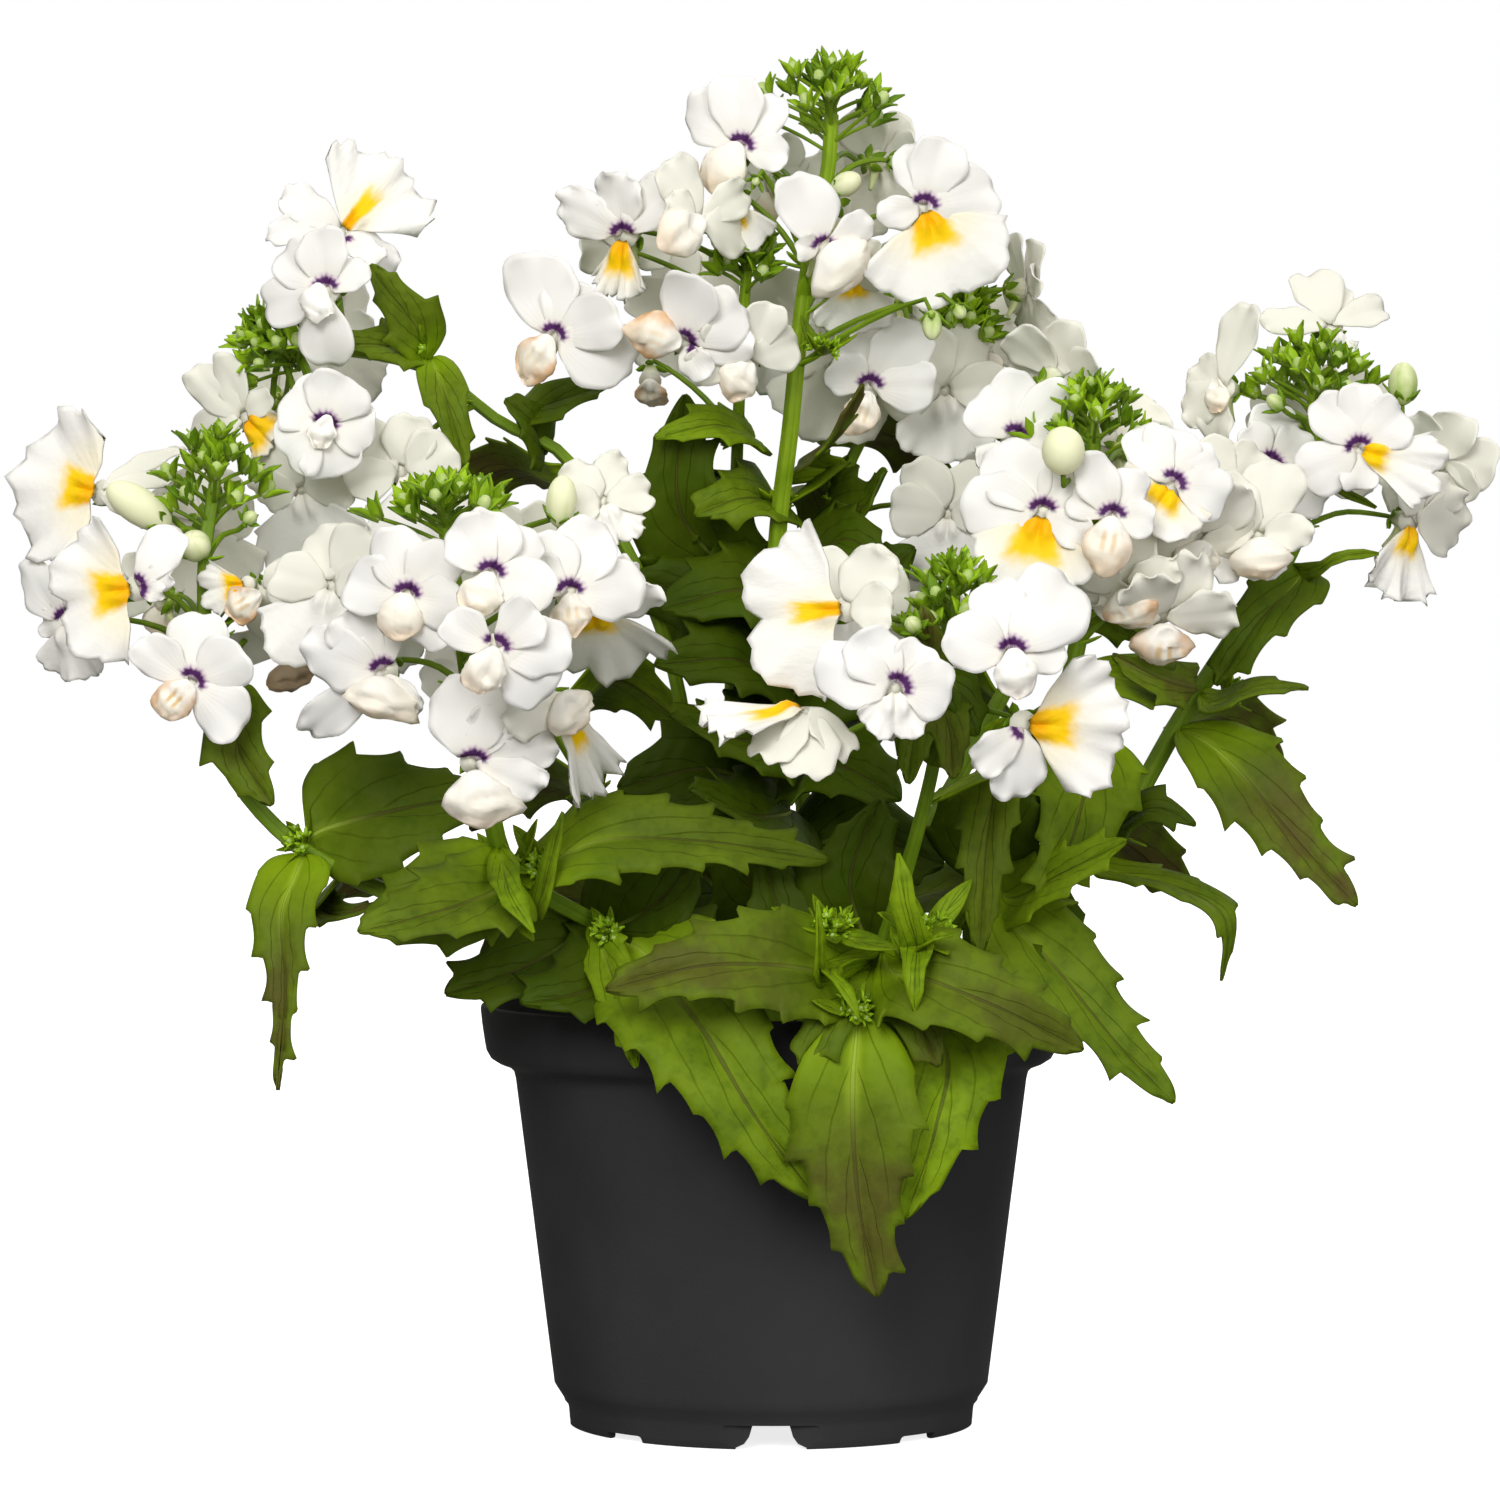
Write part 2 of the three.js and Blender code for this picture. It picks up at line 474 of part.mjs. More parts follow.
// A leaf is a thin blade along its midrib, slightly folded into a keel
function makeLeaf(name, margin = 0) {
  const [stem, route, width, facing] = LEAVES[name];
  const points = route.map(onSightLine);
  const carrier = stalkRoot(leafCarrier(name, stem), points[0], 0);
  const carrierRadius = name === "front_leaf_over_rim" ? SIDE_SHOOT_RADIUS : STEM_RADIUS;
  const start = points[0].clone().sub(carrier);
  start.setLength(carrierRadius + GAP - margin).add(carrier);
  const midrib = new THREE.CatmullRomCurve3([start, ...points]);
  const look = new THREE.Vector3(...facing).normalize();
  const run = points.at(-1).clone().sub(start).normalize();
  const side = new THREE.Vector3().crossVectors(look, run).normalize();
  const blade = new THREE.CylinderGeometry(1, 1, 1, 6, 9);
  const spots = blade.attributes.position;
  for (let i = 0; i < spots.count; i += 1) {
    const along = spots.getY(i) + 0.5;
    const half = leafHalfWidth(along, width) + margin;
    const tangent = midrib.getTangentAt(along);
    const normal = new THREE.Vector3().crossVectors(tangent, side).normalize();
    const across = spots.getX(i) * half;
    const rise = spots.getZ(i) * (LEAF_THICKNESS / 2 + margin) + Math.abs(across) * 0.22;
    const spot = midrib.getPointAt(along).addScaledVector(side, across);
    spot.addScaledVector(normal, rise);
    spots.setXYZ(i, spot.x, spot.y, spot.z);
  }
  return solidOf(blade);
}

function leafCarrier(name, stem) {
  if (name === "front_leaf_over_rim") {
    return new THREE.CatmullRomCurve3(SIDE_SHOOT.route.map(onSightLine));
  }
  return stemCurve(stem);
}

// How far the petals reach in a direction, given in degrees anticlockwise from straight up. Each
// upper lobe is an ellipse that starts at the throat, and an open lip is a fan.
function petalReach(direction, kind, { lobes = USUAL_LOBES, lip = 0, long = 18, opening = 60 }) {
  let reach = THROAT_RADIUS;
  for (const [turn, lobeLong, lobeWide] of lobes) {
    const off = THREE.MathUtils.degToRad(direction - turn);
    const [ahead, aside] = [Math.cos(off) * 2 / lobeLong, Math.sin(off) * 2 / lobeWide];
    if (ahead > 0) {
      reach = Math.max(reach, 2 * ahead / (ahead ** 2 + aside ** 2));
    }
  }
  const off = Math.abs(THREE.MathUtils.euclideanModulo(direction - lip, 360) - 180) / opening;
  if (kind === "open" && off <= 1) {
    reach = Math.max(reach, long * (1 - 0.16 * off ** 3));
  }
  return reach;
}

// A flower faces along its own +Z with its throat at the origin: a plate of petals, the tube
// and spur behind them, and on a young flower the rounded pouch of the folded lip
function makeFlower(name, margin = 0) {
  const [, place, kind, size, turns, shape = {}] = FLOWERS[name];
  const { lip = 0, lift = 0.2, tilt = 0, pouch = USUAL_POUCH } = shape;
  const corners = [];
  for (let direction = 0; direction < 360; direction += PETAL_STEP) {
    const angle = THREE.MathUtils.degToRad(direction + 90);
    const reach = petalReach(direction, kind, shape) * size + margin;
    corners.push(new THREE.Vector2(Math.cos(angle), Math.sin(angle)).multiplyScalar(reach));
  }
  const depth = PETAL_THICKNESS + 2 * margin;
  const plate = new THREE.ExtrudeGeometry(new THREE.Shape(corners), { depth, bevelEnabled: false });
  const spots = plate.attributes.position;
  const down = THREE.MathUtils.degToRad(lip);
  const lean = Math.tan(THREE.MathUtils.degToRad(tilt));
  for (let i = 0; i < spots.count; i += 1) {
    const low = spots.getX(i) * Math.sin(down) - spots.getY(i) * Math.cos(down);
    const forward = kind === "open" && low > 0 ? lift * Math.max(low - THROAT_RADIUS * size, 0)
      : lean * Math.max(-low, 0);
    spots.setZ(i, spots.getZ(i) + forward - margin);
  }
  const throat = lathe([[0, -FLOWER_BACK], [1.5, -FLOWER_BACK], [2.9, -3.4], [THROAT_RADIUS, 0.4],
    [0, 0.4]]
    .map(([radius, height]) => [radius * size + (radius > 0 ? margin : 0), height * size]), 6);
  const spur = new THREE.CylinderGeometry(1.1 * size + margin, 0.5 * size + margin, 6 * size, 4);
  spur.rotateX(0.5).translate(0, -4.4 * size, -4.2 * size);
  const parts = [solidOf(plate), throat, solidOf(spur)];
  if (kind === "pouch" || shape.pouch) {
    const [wide, tall, drop] = pouch;
    const ball = new THREE.SphereGeometry(1, 7, 4);
    ball.scale(wide * size / 2 + margin, tall * size / 2 + margin, wide * size * 0.36 + margin);
    ball.translate(0, -drop * size, 1.6 * size).rotateZ(down);
    parts.push(solidOf(ball));
  }
  const frame = flowerFrame(place, turns);
  return union(parts).transform(frame.toArray());
}

// Everything inside the pot's outline grown by the gap, which no leaf may enter
function potEnvelope() {
  const outline = potOutside().map(([radius, height]) => [radius + GAP, height]);
  return lathe([[0, -GAP], ...outline, [RIM_RADIUS - 0.6, POT_HEIGHT + GAP], [0, POT_HEIGHT + GAP]],
    POT_SIDES);
}

function boxesMeet(first, second) {
  const [a, b] = [first.boundingBox(), second.boundingBox()];
  return [0, 1, 2].every((axis) => a.min[axis] < b.max[axis] && b.min[axis] < a.max[axis]);
}

function clearOf(solid, cutters) {
  let cut = solid;
  for (const cutter of cutters) {
    if (boxesMeet(cut, cutter) && cut.intersect(cutter).volume() > 0) {
      cut = largestBody(cut.subtract(cutter));
    }
  }
  return cut;
}

const plant = new THREE.Group();

function addPiece(name, solid, colour) {
  const [color, roughness] = COLOURS[colour];
  const material = new THREE.MeshStandardMaterial({ color, roughness, metalness: 0 });
  const piece = new THREE.Mesh(geometryOf(solid), material);
  piece.name = name;
  plant.add(piece);
}

addPiece("pot", makePot(), "pot");
addPiece("soil", makeSoil(), "soil");

const cutters = [];
for (const name of Object.keys(STEMS)) {
  addPiece(`${name}_stem`, clearOf(makeStem(name), cutters), "stem");
  cutters.push(makeStem(name, GAP));
}

const envelope = potEnvelope();
for (const name of Object.keys(LEAVES)) {
  addPiece(name, clearOf(makeLeaf(name), [...cutters, envelope]), "leaf");
}
cutters.push(...Object.keys(LEAVES).map((name) => makeLeaf(name, GAP)));

for (const name of Object.keys(FLOWERS)) {
  addPiece(name, clearOf(makeFlower(name), cutters), "petal");
  cutters.push(makeFlower(name, GAP));
}

export default plant;
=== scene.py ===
# %% [markdown]
# # A potted nemesia in flower
# We build a small balcony plant: a black nursery pot, its soil, twelve flowering stems, toothed
# green leaves and about a hundred white flowers with a yellow throat. The CAD model of the plant
# is loaded first. It holds each large piece as a plain solid, and each large piece made here
# takes the place of one of those solids, which is hidden.

# %% Load the plain model
import math
import random
import bpy
import numpy as np
from mathutils import Matrix, Vector, noise


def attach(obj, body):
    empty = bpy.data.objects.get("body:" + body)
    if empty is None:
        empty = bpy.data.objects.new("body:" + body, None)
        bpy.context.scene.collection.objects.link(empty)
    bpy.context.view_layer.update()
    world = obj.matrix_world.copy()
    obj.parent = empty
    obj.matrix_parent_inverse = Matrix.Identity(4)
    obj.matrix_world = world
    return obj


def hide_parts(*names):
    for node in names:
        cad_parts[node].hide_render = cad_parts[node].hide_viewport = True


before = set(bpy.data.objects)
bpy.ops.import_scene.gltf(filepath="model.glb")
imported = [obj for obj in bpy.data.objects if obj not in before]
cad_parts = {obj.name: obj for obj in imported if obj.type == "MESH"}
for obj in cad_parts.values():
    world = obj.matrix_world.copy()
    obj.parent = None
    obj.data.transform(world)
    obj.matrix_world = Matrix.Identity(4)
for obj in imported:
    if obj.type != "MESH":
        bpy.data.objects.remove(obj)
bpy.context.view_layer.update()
MM = 0.001

# %% [markdown]
# ## Reading places off a photograph
# A flower is easiest to place where a front view shows it: so far across, so far up. How deep it
# lies is a third number. We push each point out along the line of sight to its depth, so that it
# still covers the same spot of the picture. All our tables are in millimetres.

# %% Places and routes
EYE_DISTANCE = 1100
EYE_HEIGHT = 156


def on_sight_line(place):
    across, up, depth = place
    reach = (EYE_DISTANCE + depth) / EYE_DISTANCE
    return np.array([across * reach, depth, EYE_HEIGHT + (up - EYE_HEIGHT) * reach])


def smooth_route(points, count):
    """Points at even steps along a smooth line through the given points."""
    points = [np.array(p, float) for p in points]
    knots = [2 * points[0] - points[1], *points, 2 * points[-1] - points[-2]]
    fine = []
    for a, b, c, d in zip(knots, knots[1:], knots[2:], knots[3:]):
        ab, bc, cd = (max(math.dist(p, q), 1e-4) ** 0.5 for p, q in ((a, b), (b, c), (c, d)))
        leave = ((b - a) / ab - (c - a) / (ab + bc) + (c - b) / bc) * bc
        arrive = ((c - b) / bc - (d - b) / (bc + cd) + (d - c) / cd) * bc
        for t in np.linspace(0, 1, 20, endpoint=False):
            fine.append((2 * t**3 - 3 * t**2 + 1) * b + (t**3 - 2 * t**2 + t) * leave
                        + (3 * t**2 - 2 * t**3) * c + (t**3 - t**2) * arrive)
    fine = np.array([*fine, points[-1]])
    walked = np.concatenate([[0], np.cumsum(np.linalg.norm(np.diff(fine, axis=0), axis=1))])
    return read_off(fine, walked, np.linspace(0, walked[-1], count))


def read_off(line, marks, wanted):
    """The points of a line at the wanted marks, where each point of the line has a mark."""
    return np.stack([np.interp(wanted, marks, line[:, k]) for k in range(3)], axis=1)


def unit(vector):
    return vector / max(np.linalg.norm(vector), 1e-9)


def units(vectors):
    return vectors / np.linalg.norm(vectors, axis=1, keepdims=True)


def spoke(side, back, turn):
    """The direction at an angle of turn from side towards back."""
    return side * math.cos(turn) + back * math.sin(turn)


def ease(value, low=0.0, high=1.0):
    """From 0 to 1 without a corner, as value goes from low to high."""
    t = np.clip((value - low) / (high - low), 0, 1)
    return t * t * (3 - 2 * t)


print("the eye stands", EYE_DISTANCE, "mm in front of the pot and", EYE_HEIGHT, "mm up")

# %% [markdown]
# ## The camera
# The photograph looks at the plant from the front, from a little above the rim, through a long
# lens. The lens is set so that the picture is 312.5 mm wide where the pot stands.

# %% Camera
PICTURE_WIDTH = 312.5
PICTURE_CENTRE = (-4.4, 0, 140)
SENSOR_WIDTH = 36
bpy.ops.object.camera_add(location=(0, -EYE_DISTANCE * MM, EYE_HEIGHT * MM))
camera = bpy.context.object
aim = Vector(PICTURE_CENTRE) * MM
camera.rotation_euler = (aim - camera.location).to_track_quat("-Z", "Y").to_euler()
camera.data.sensor_width = SENSOR_WIDTH
camera.data.lens = SENSOR_WIDTH * EYE_DISTANCE / PICTURE_WIDTH
bpy.context.scene.camera = camera
print("lens", round(camera.data.lens, 1), "mm")

# %% [markdown]
# ## Painting with nodes
# Every colour here is worked out by the material's nodes, from where a point lies. To keep the
# recipes short, a Field stands for a number that changes over the surface, and adding or
# multiplying two of them adds the Math node that does it.

# %% Fields and colours
class Field:
    def __init__(self, look, socket):
        self.look = look
        self.socket = socket

    def math(self, operation, *others):
        made = self.look.node_tree.nodes.new("ShaderNodeMath")
        made.operation = operation
        for entry, value in zip(made.inputs, (self, *others)):
            feed(entry, value)
        return Field(self.look, made.outputs[0])

    def __add__(self, other):
        return self.math("ADD", other)

    def __sub__(self, other):
        return self.math("SUBTRACT", other)

    def __mul__(self, other):
        return self.math("MULTIPLY", other)

    def __truediv__(self, other):
        return self.math("DIVIDE", other)

    def size(self):
        return self.math("ABSOLUTE")

    def ramp(self, low, high, first, last, kind="LINEAR"):
        """first where the number is low, last where it is high, and even steps between them."""
        made = self.look.node_tree.nodes.new("ShaderNodeMapRange")
        made.interpolation_type = kind
        for entry, value in zip(made.inputs, (self, low, high, first, last)):
            feed(entry, value)
        return Field(self.look, made.outputs[0])

    def rises(self, low, high):
        """0 below low and 1 above high, or the other way round where low is the larger."""
        ends = (0.0, 1.0) if low < high else (1.0, 0.0)
        return self.ramp(min(low, high), max(low, high), *ends, "SMOOTHSTEP")


def feed(entry, value):
    if isinstance(value, Field):
        value.look.node_tree.links.new(value.socket, entry)
    else:
        entry.default_value = value


def colour(red, green, blue):
    """A colour as a paint chart gives it, from 0 to 255, as the light that it sends back."""
    channels = [c / 255 for c in (red, green, blue)]
    return (*[c / 12.92 if c < 0.04045 else ((c + 0.055) / 1.055) ** 2.4 for c in channels], 1)


def new_look(name, roughness, **settings):
    look = bpy.data.materials.new(name)
    look.use_nodes = True
    shader = look.node_tree.nodes["Principled BSDF"]
    shader.inputs["Roughness"].default_value = roughness
    for setting, value in settings.items():
        shader.inputs[setting.replace("_", " ")].default_value = value
    return look


def split(look, socket):
    made = look.node_tree.nodes.new("ShaderNodeSeparateXYZ")
    look.node_tree.links.new(socket, made.inputs[0])
    return [Field(look, s) for s in made.outputs]


def pattern(look):
    """The three numbers that each point carries, such as where on its petal it lies."""
    made = look.node_tree.nodes.new("ShaderNodeAttribute")
    made.attribute_name = "pattern"
    return made.outputs["Vector"]


def cloud(look, scale, detail, place=None):
    """Soft blotches, from 0 to 1, that follow the place on the object or another one."""
    made = look.node_tree.nodes.new("ShaderNodeTexNoise")
    made.inputs["Scale"].default_value = scale
    made.inputs["Detail"].default_value = detail
    place = place or look.node_tree.nodes.new("ShaderNodeTexCoord").outputs["Object"]
    look.node_tree.links.new(place, made.inputs["Vector"])
    return Field(look, made.outputs[0])


def mixed(amount, first, second):
    made = amount.look.node_tree.nodes.new("ShaderNodeMix")
    made.data_type = "RGBA"
    feed(made.inputs[0], amount)
    feed(made.inputs[6], first)
    feed(made.inputs[7], second)
    return Field(amount.look, made.outputs[2])


def paint(shade):
    feed(shade.look.node_tree.nodes["Principled BSDF"].inputs["Base Color"], shade)


def emboss(height, depth):
    """Raises the surface by height times depth, in millimetres, in the shading only."""
    made = height.look.node_tree.nodes.new("ShaderNodeBump")
    made.inputs["Distance"].default_value = depth * MM
    feed(made.inputs["Height"], height)
    shader = height.look.node_tree.nodes["Principled BSDF"]
    height.look.node_tree.links.new(made.outputs[0], shader.inputs["Normal"])


print("a pale cream is", [round(c, 2) for c in colour(250, 240, 205)])

# %% [markdown]
# ## Finishes
# The pot is cheap black plastic, dull and very slightly grainy. The soil is dark brown and full
# of crumbs. Stems are a bright yellowish green. A leaf is darker, with sunken veins that arch
# towards the tip, a paler middle rib, and a brownish flush on the old ones.

# %% Pot and soil finishes
pot_look = new_look("black_pot_plastic", 0.6, Specular_IOR_Level=0.03)
grain = cloud(pot_look, 900, 2)
streaks = cloud(pot_look, 25, 4)
paint(mixed(streaks.rises(0.3, 0.75), colour(50, 50, 51), colour(57, 57, 58)))
emboss(grain, 0.06)

soil_look = new_look("potting_soil", 0.95, Specular_IOR_Level=0.2)
crumbs = cloud(soil_look, 700, 4)
paint(mixed(crumbs.rises(0.35, 0.7), colour(20, 14, 10), colour(70, 50, 34)))
emboss(crumbs, 0.8)
print("finishes:", pot_look.name, soil_look.name)

# %% Stem finish
stem_look = new_look("stem_green", 0.5, Specular_IOR_Level=0.2)
blotch = cloud(stem_look, 90, 3)
*_, stem_tone = split(stem_look, pattern(stem_look))
young = mixed(blotch.rises(0.3, 0.7), colour(116, 148, 14), colour(142, 172, 34))
old = mixed(blotch.rises(0.3, 0.7), colour(62, 88, 16), colour(92, 120, 28))
paint(mixed(stem_tone, old, young))
emboss(cloud(stem_look, 500, 3), 0.12)

# %% Leaf finish
VEIN_COUNT = 3.4
VEIN_SLANT = 2.3
leaf_look = new_look("leaf_green", 0.55, Specular_IOR_Level=0.09)
leaf_across, leaf_along, leaf_shade_and_age = split(leaf_look, pattern(leaf_look))
leaf_side = leaf_across.size()
dapple = cloud(leaf_look, 110, 4)
mottle = cloud(leaf_look, 480, 5)
rib = leaf_side.rises(0.055, 0.02)
vein_phase = (leaf_along * VEIN_COUNT - leaf_side * VEIN_SLANT).math("FRACT")
vein = (vein_phase - 0.5).size().rises(0.06, 0.0) * leaf_side.rises(0.03, 0.12)
vein = vein * leaf_side.rises(0.9, 0.6) * leaf_along.rises(0.95, 0.8)
# Painted shade: a leaf with a low tone, deep in the plant, is painted a darker green. A high tone is a
# young, yellow-green leaf, and the middle tones are grown ones.
deep = mixed(leaf_shade_and_age.rises(0.0, 0.45), colour(59, 75, 4), colour(95, 115, 19))
fresh = mixed(leaf_shade_and_age.rises(0.5, 1.0), deep, colour(128, 157, 18))
worn = dapple.rises(0.35, 0.7) * 0.45 + mottle.rises(0.45, 0.7) * 0.25
shade = mixed(worn, fresh, colour(58, 82, 4))
# Painted highlight: on leaves that are not in painted shade, the base and a band along the middle rib are
# painted a paler yellow-green, as if lit.
lit_base = leaf_along.rises(0.42, 0.0) * leaf_shade_and_age.rises(0.1, 0.5) * 0.7
shade = mixed(lit_base, shade, colour(140, 172, 10))
painted_rib_glow = leaf_side.rises(0.22, 0.0) * leaf_along.rises(0.55, 0.1) * leaf_shade_and_age.rises(0.1, 0.5) * 0.6
shade = mixed(painted_rib_glow, shade, colour(164, 190, 50))
grown = leaf_shade_and_age.rises(0.25, 0.35) * leaf_shade_and_age.rises(0.52, 0.42)
old_tip = leaf_along.rises(0.25, 0.65) * (dapple + leaf_side * -0.2).rises(0.2, 0.5) * grown * 0.8
shade = mixed(old_tip, shade, colour(84, 70, 36))
shade = mixed(vein * 0.22, shade, colour(54, 64, 12))
rib_shade = mixed(leaf_along.rises(0.1, 0.5), colour(160, 184, 70), colour(74, 66, 34))
paint(mixed(rib * 0.6, shade, rib_shade))
emboss(dapple * 0.6 + mottle * 0.25 - vein * 0.3 - rib * 0.4, 0.5)

# %% Sepal and bud finishes
sepal_look = new_look("sepal_green", 0.5, Specular_IOR_Level=0.2)
_, sepal_along, sepal_tone = split(sepal_look, pattern(sepal_look))
sepal_shade = mixed(sepal_tone, colour(74, 110, 10), colour(158, 196, 30))
sepal_root = sepal_along.rises(0.5, 0.0) * 0.5
paint(mixed(sepal_root, sepal_shade, colour(160, 192, 60)))
emboss(cloud(sepal_look, 800, 2), 0.1)

bud_look = new_look("bud_green", 0.5, Specular_IOR_Level=0.3)
*_, bud_ripe = split(bud_look, pattern(bud_look))
bud_blotch = cloud(bud_look, 500, 2) * 0.4
paint(mixed(bud_ripe + bud_blotch, colour(138, 174, 16), colour(240, 241, 200)))
print("finishes:", stem_look.name, leaf_look.name, sepal_look.name, bud_look.name)

# %% [markdown]
# ## Petal finishes
# The four upper lobes are cool white, with a purple arc where they meet over the throat and fine
# violet lines that run out from it. The lip below is white too, with a yellow wedge that turns
# orange towards the throat and fades into cream. In young flowers the lip is still folded into
# a peach-coloured pouch, with two darker slits in its front, and in old ones the pouch turns
# orange-brown.

# %% Upper lobes
lobe_look = new_look("petal_white", 0.6, Specular_IOR_Level=0.2)
lobe_x, lobe_y, lobe_edge = split(lobe_look, pattern(lobe_look))
lobe_reach = (lobe_x * lobe_x + lobe_y * lobe_y).math("SQRT")
lobe_angle = lobe_x.math("ARCTAN2", lobe_y)
wobble = cloud(lobe_look, 0.9, 2, pattern(lobe_look)) * 1.0 - 0.5
rays = (lobe_angle * 17).math("SINE")
arc_reach = lobe_reach + wobble - rays * 0.06
arc = arc_reach.rises(1.3, 1.8) * arc_reach.rises(3.2, 2.4) * lobe_y.rises(-0.4, 0.7)
fringe = arc_reach.rises(4.0, 2.6) * (rays * 0.3 + 0.7) * lobe_y.rises(0.0, 1.2) * 0.8
satin = cloud(lobe_look, 70, 2)
white = mixed(satin.rises(0.35, 0.7), colour(235, 233, 228), colour(243, 241, 237))
# Painted shade: a faint grey along the rim of each lobe.
white = mixed(lobe_edge.rises(0.95, 1.0) * 0.06, white, colour(190, 192, 192))
white = mixed(lobe_reach.rises(8.0, 2.5) * 0.4, white, colour(232, 226, 210))
# The far side of each lobe, and every lobe of a plain flower, is painted greenish cream: partly the petal's
# own tinted back, partly painted shade.
white = mixed(lobe_y.rises(-18, -24), white, colour(232, 230, 217))
white = mixed(fringe, white, colour(156, 92, 160))
paint(mixed(arc, white, colour(78, 36, 92)))
fine_veins = (lobe_angle * 44).math("SINE") * lobe_reach.rises(13, 4)
emboss(fine_veins * 0.05 + satin, 0.14)
print("finish:", lobe_look.name)

# %% Lip
lip_look = new_look("lip_white_and_yellow", 0.6, Specular_IOR_Level=0.2)
lip_x, lip_y, lip_edge = split(lip_look, pattern(lip_look))
lip_down = lip_y * -1.0
lip_reach = (lip_x * lip_x + lip_y * lip_y).math("SQRT")
lip_blotch = cloud(lip_look, 0.45, 3, pattern(lip_look)) - 0.5
wedge = lip_x.size() / (lip_down * 0.26 + 2.1) + lip_blotch * 0.5
yellow = wedge.rises(1.3, 0.75) * (lip_down + lip_blotch * 2.4).rises(9.6, 6.4)
orange = (lip_down + lip_blotch * 2.0).rises(5.0, 1.8) * 0.6
# Painted shade: a faint grey along the rim of the lip.
painted_lip_rim_shade = lip_edge.rises(0.93, 1.0) * 0.08
lip_white = mixed(painted_lip_rim_shade, colour(240, 238, 232), colour(192, 196, 200))
# The far side of the lip, and the far end of a lip whose yellow is faded far out, are painted greenish
# cream: partly the petal's own tinted back, partly painted shade.
lip_white = mixed(lip_down.rises(24, 30), lip_white, colour(232, 230, 217))
cream = mixed(lip_reach.rises(13.5, 6.0) * 0.5, lip_white, colour(244, 230, 184))
throat = mixed(orange, colour(252, 204, 2), colour(240, 158, 2))
lip_paint = mixed(yellow, cream, throat)
# Painted shadow: the mouth of the throat, where the tube is hollow, is painted a dark brownish yellow.
painted_throat_shadow = lip_down.rises(1.7, 1.0) * lip_reach.rises(3.6, 2.6)
paint(mixed(painted_throat_shadow, lip_paint, colour(110, 90, 24)))
lip_veins = (lip_x.math("ARCTAN2", lip_down) * 36).math("SINE") * lip_reach.rises(17, 6)
emboss(lip_veins * 0.06 + lip_blotch, 0.2)

# %% Pouch and tube
pouch_look = new_look("pouch_peach", 0.55, Specular_IOR_Level=0.2)
pouch_x, pouch_y, pouch_age = split(pouch_look, pattern(pouch_look))
fold = cloud(pouch_look, 200, 2)
# The pouch is painted deeper peach towards its underside and in its folds, and paler on top: partly its own
# colour, partly painted shade below and painted light above.
peach_below_and_shade = (pouch_y * -1.0 + fold * 0.8).rises(0.3, 1.3) * 0.8
peach = mixed(peach_below_and_shade, colour(247, 240, 224), colour(245, 220, 190))
peach = mixed(pouch_y.rises(0.2, 0.95) * 0.6, peach, colour(243, 241, 235))
slit = (pouch_x.size() - 0.2).size().rises(0.16, 0.03) * (pouch_y - 0.25).size().rises(0.55, 0.2)
slit = slit * pouch_age.rises(0.1, 0.6) * (pouch_age.rises(1.0, 0.6) * 0.5 + 0.25)
peach = mixed(slit, peach, colour(212, 168, 88))
peach = mixed(pouch_age.rises(0.0, -1.0) * 0.8, peach, colour(244, 243, 238))
aged = pouch_age.rises(0.0, 1.0) * (fold * 0.8 + pouch_x.size() * 0.5).rises(0.55, 0.95) * 0.8
peach = mixed(aged, peach, colour(208, 146, 66))
paint(mixed(pouch_age.rises(1.0, 2.0) * 0.85, peach, colour(176, 146, 110)))
emboss(fold, 0.3)

tube_look = new_look("tube_pale_green", 0.55, Specular_IOR_Level=0.2)
*_, tube_along = split(tube_look, pattern(tube_look))
paint(mixed(tube_along, colour(190, 202, 116), colour(234, 232, 216)))
emboss(cloud(tube_look, 400, 2), 0.15)
print("finishes:", lip_look.name, pouch_look.name, tube_look.name)

# %% [markdown]
# ## Blanks
# A plant repeats a few shapes many times, so we model each of them once, flat and plain, and call
# it a blank: a thin slab for everything leafy, a straight tube for everything stalky, and a ball.
# A copy of a blank is then bent to its own shape by moving its points, as a sculptor would. That
# is quicker and looks better than bending a hundred copies by hand, because each one can differ.

# %% Blanks
def pick(*models):
    """Selects these models and nothing else. The first of them is the active one."""
    bpy.ops.object.select_all(action="DESELECT")
    for model in models:
        model.select_set(True)
        bpy.context.view_layer.objects.active = models[0]


def faces_outwards():
    """Turns all faces of the model that is being edited outwards, and ends the editing."""
    bpy.ops.mesh.select_all(action="SELECT")
    bpy.ops.mesh.normals_make_consistent(inside=False)
    bpy.ops.object.mode_set(mode="OBJECT")


def take_blank(model):
    """Keeps a modelled blank's points and faces, and clears the model away."""
    points = np.array([v.co for v in model.data.vertices])
    faces = [tuple(p.vertices) for p in model.data.polygons]
    bpy.data.meshes.remove(model.data)
    return points, faces


def slab_blank(columns, rows):
    pick()
    bpy.ops.mesh.primitive_grid_add(x_subdivisions=columns, y_subdivisions=rows, size=2)
    slab = bpy.context.object
    bpy.ops.object.modifier_add(type="SOLIDIFY")
    slab.modifiers[0].thickness = 1
    slab.modifiers[0].offset = 0
    bpy.ops.object.modifier_apply(modifier=slab.modifiers[0].name)
    return take_blank(slab)


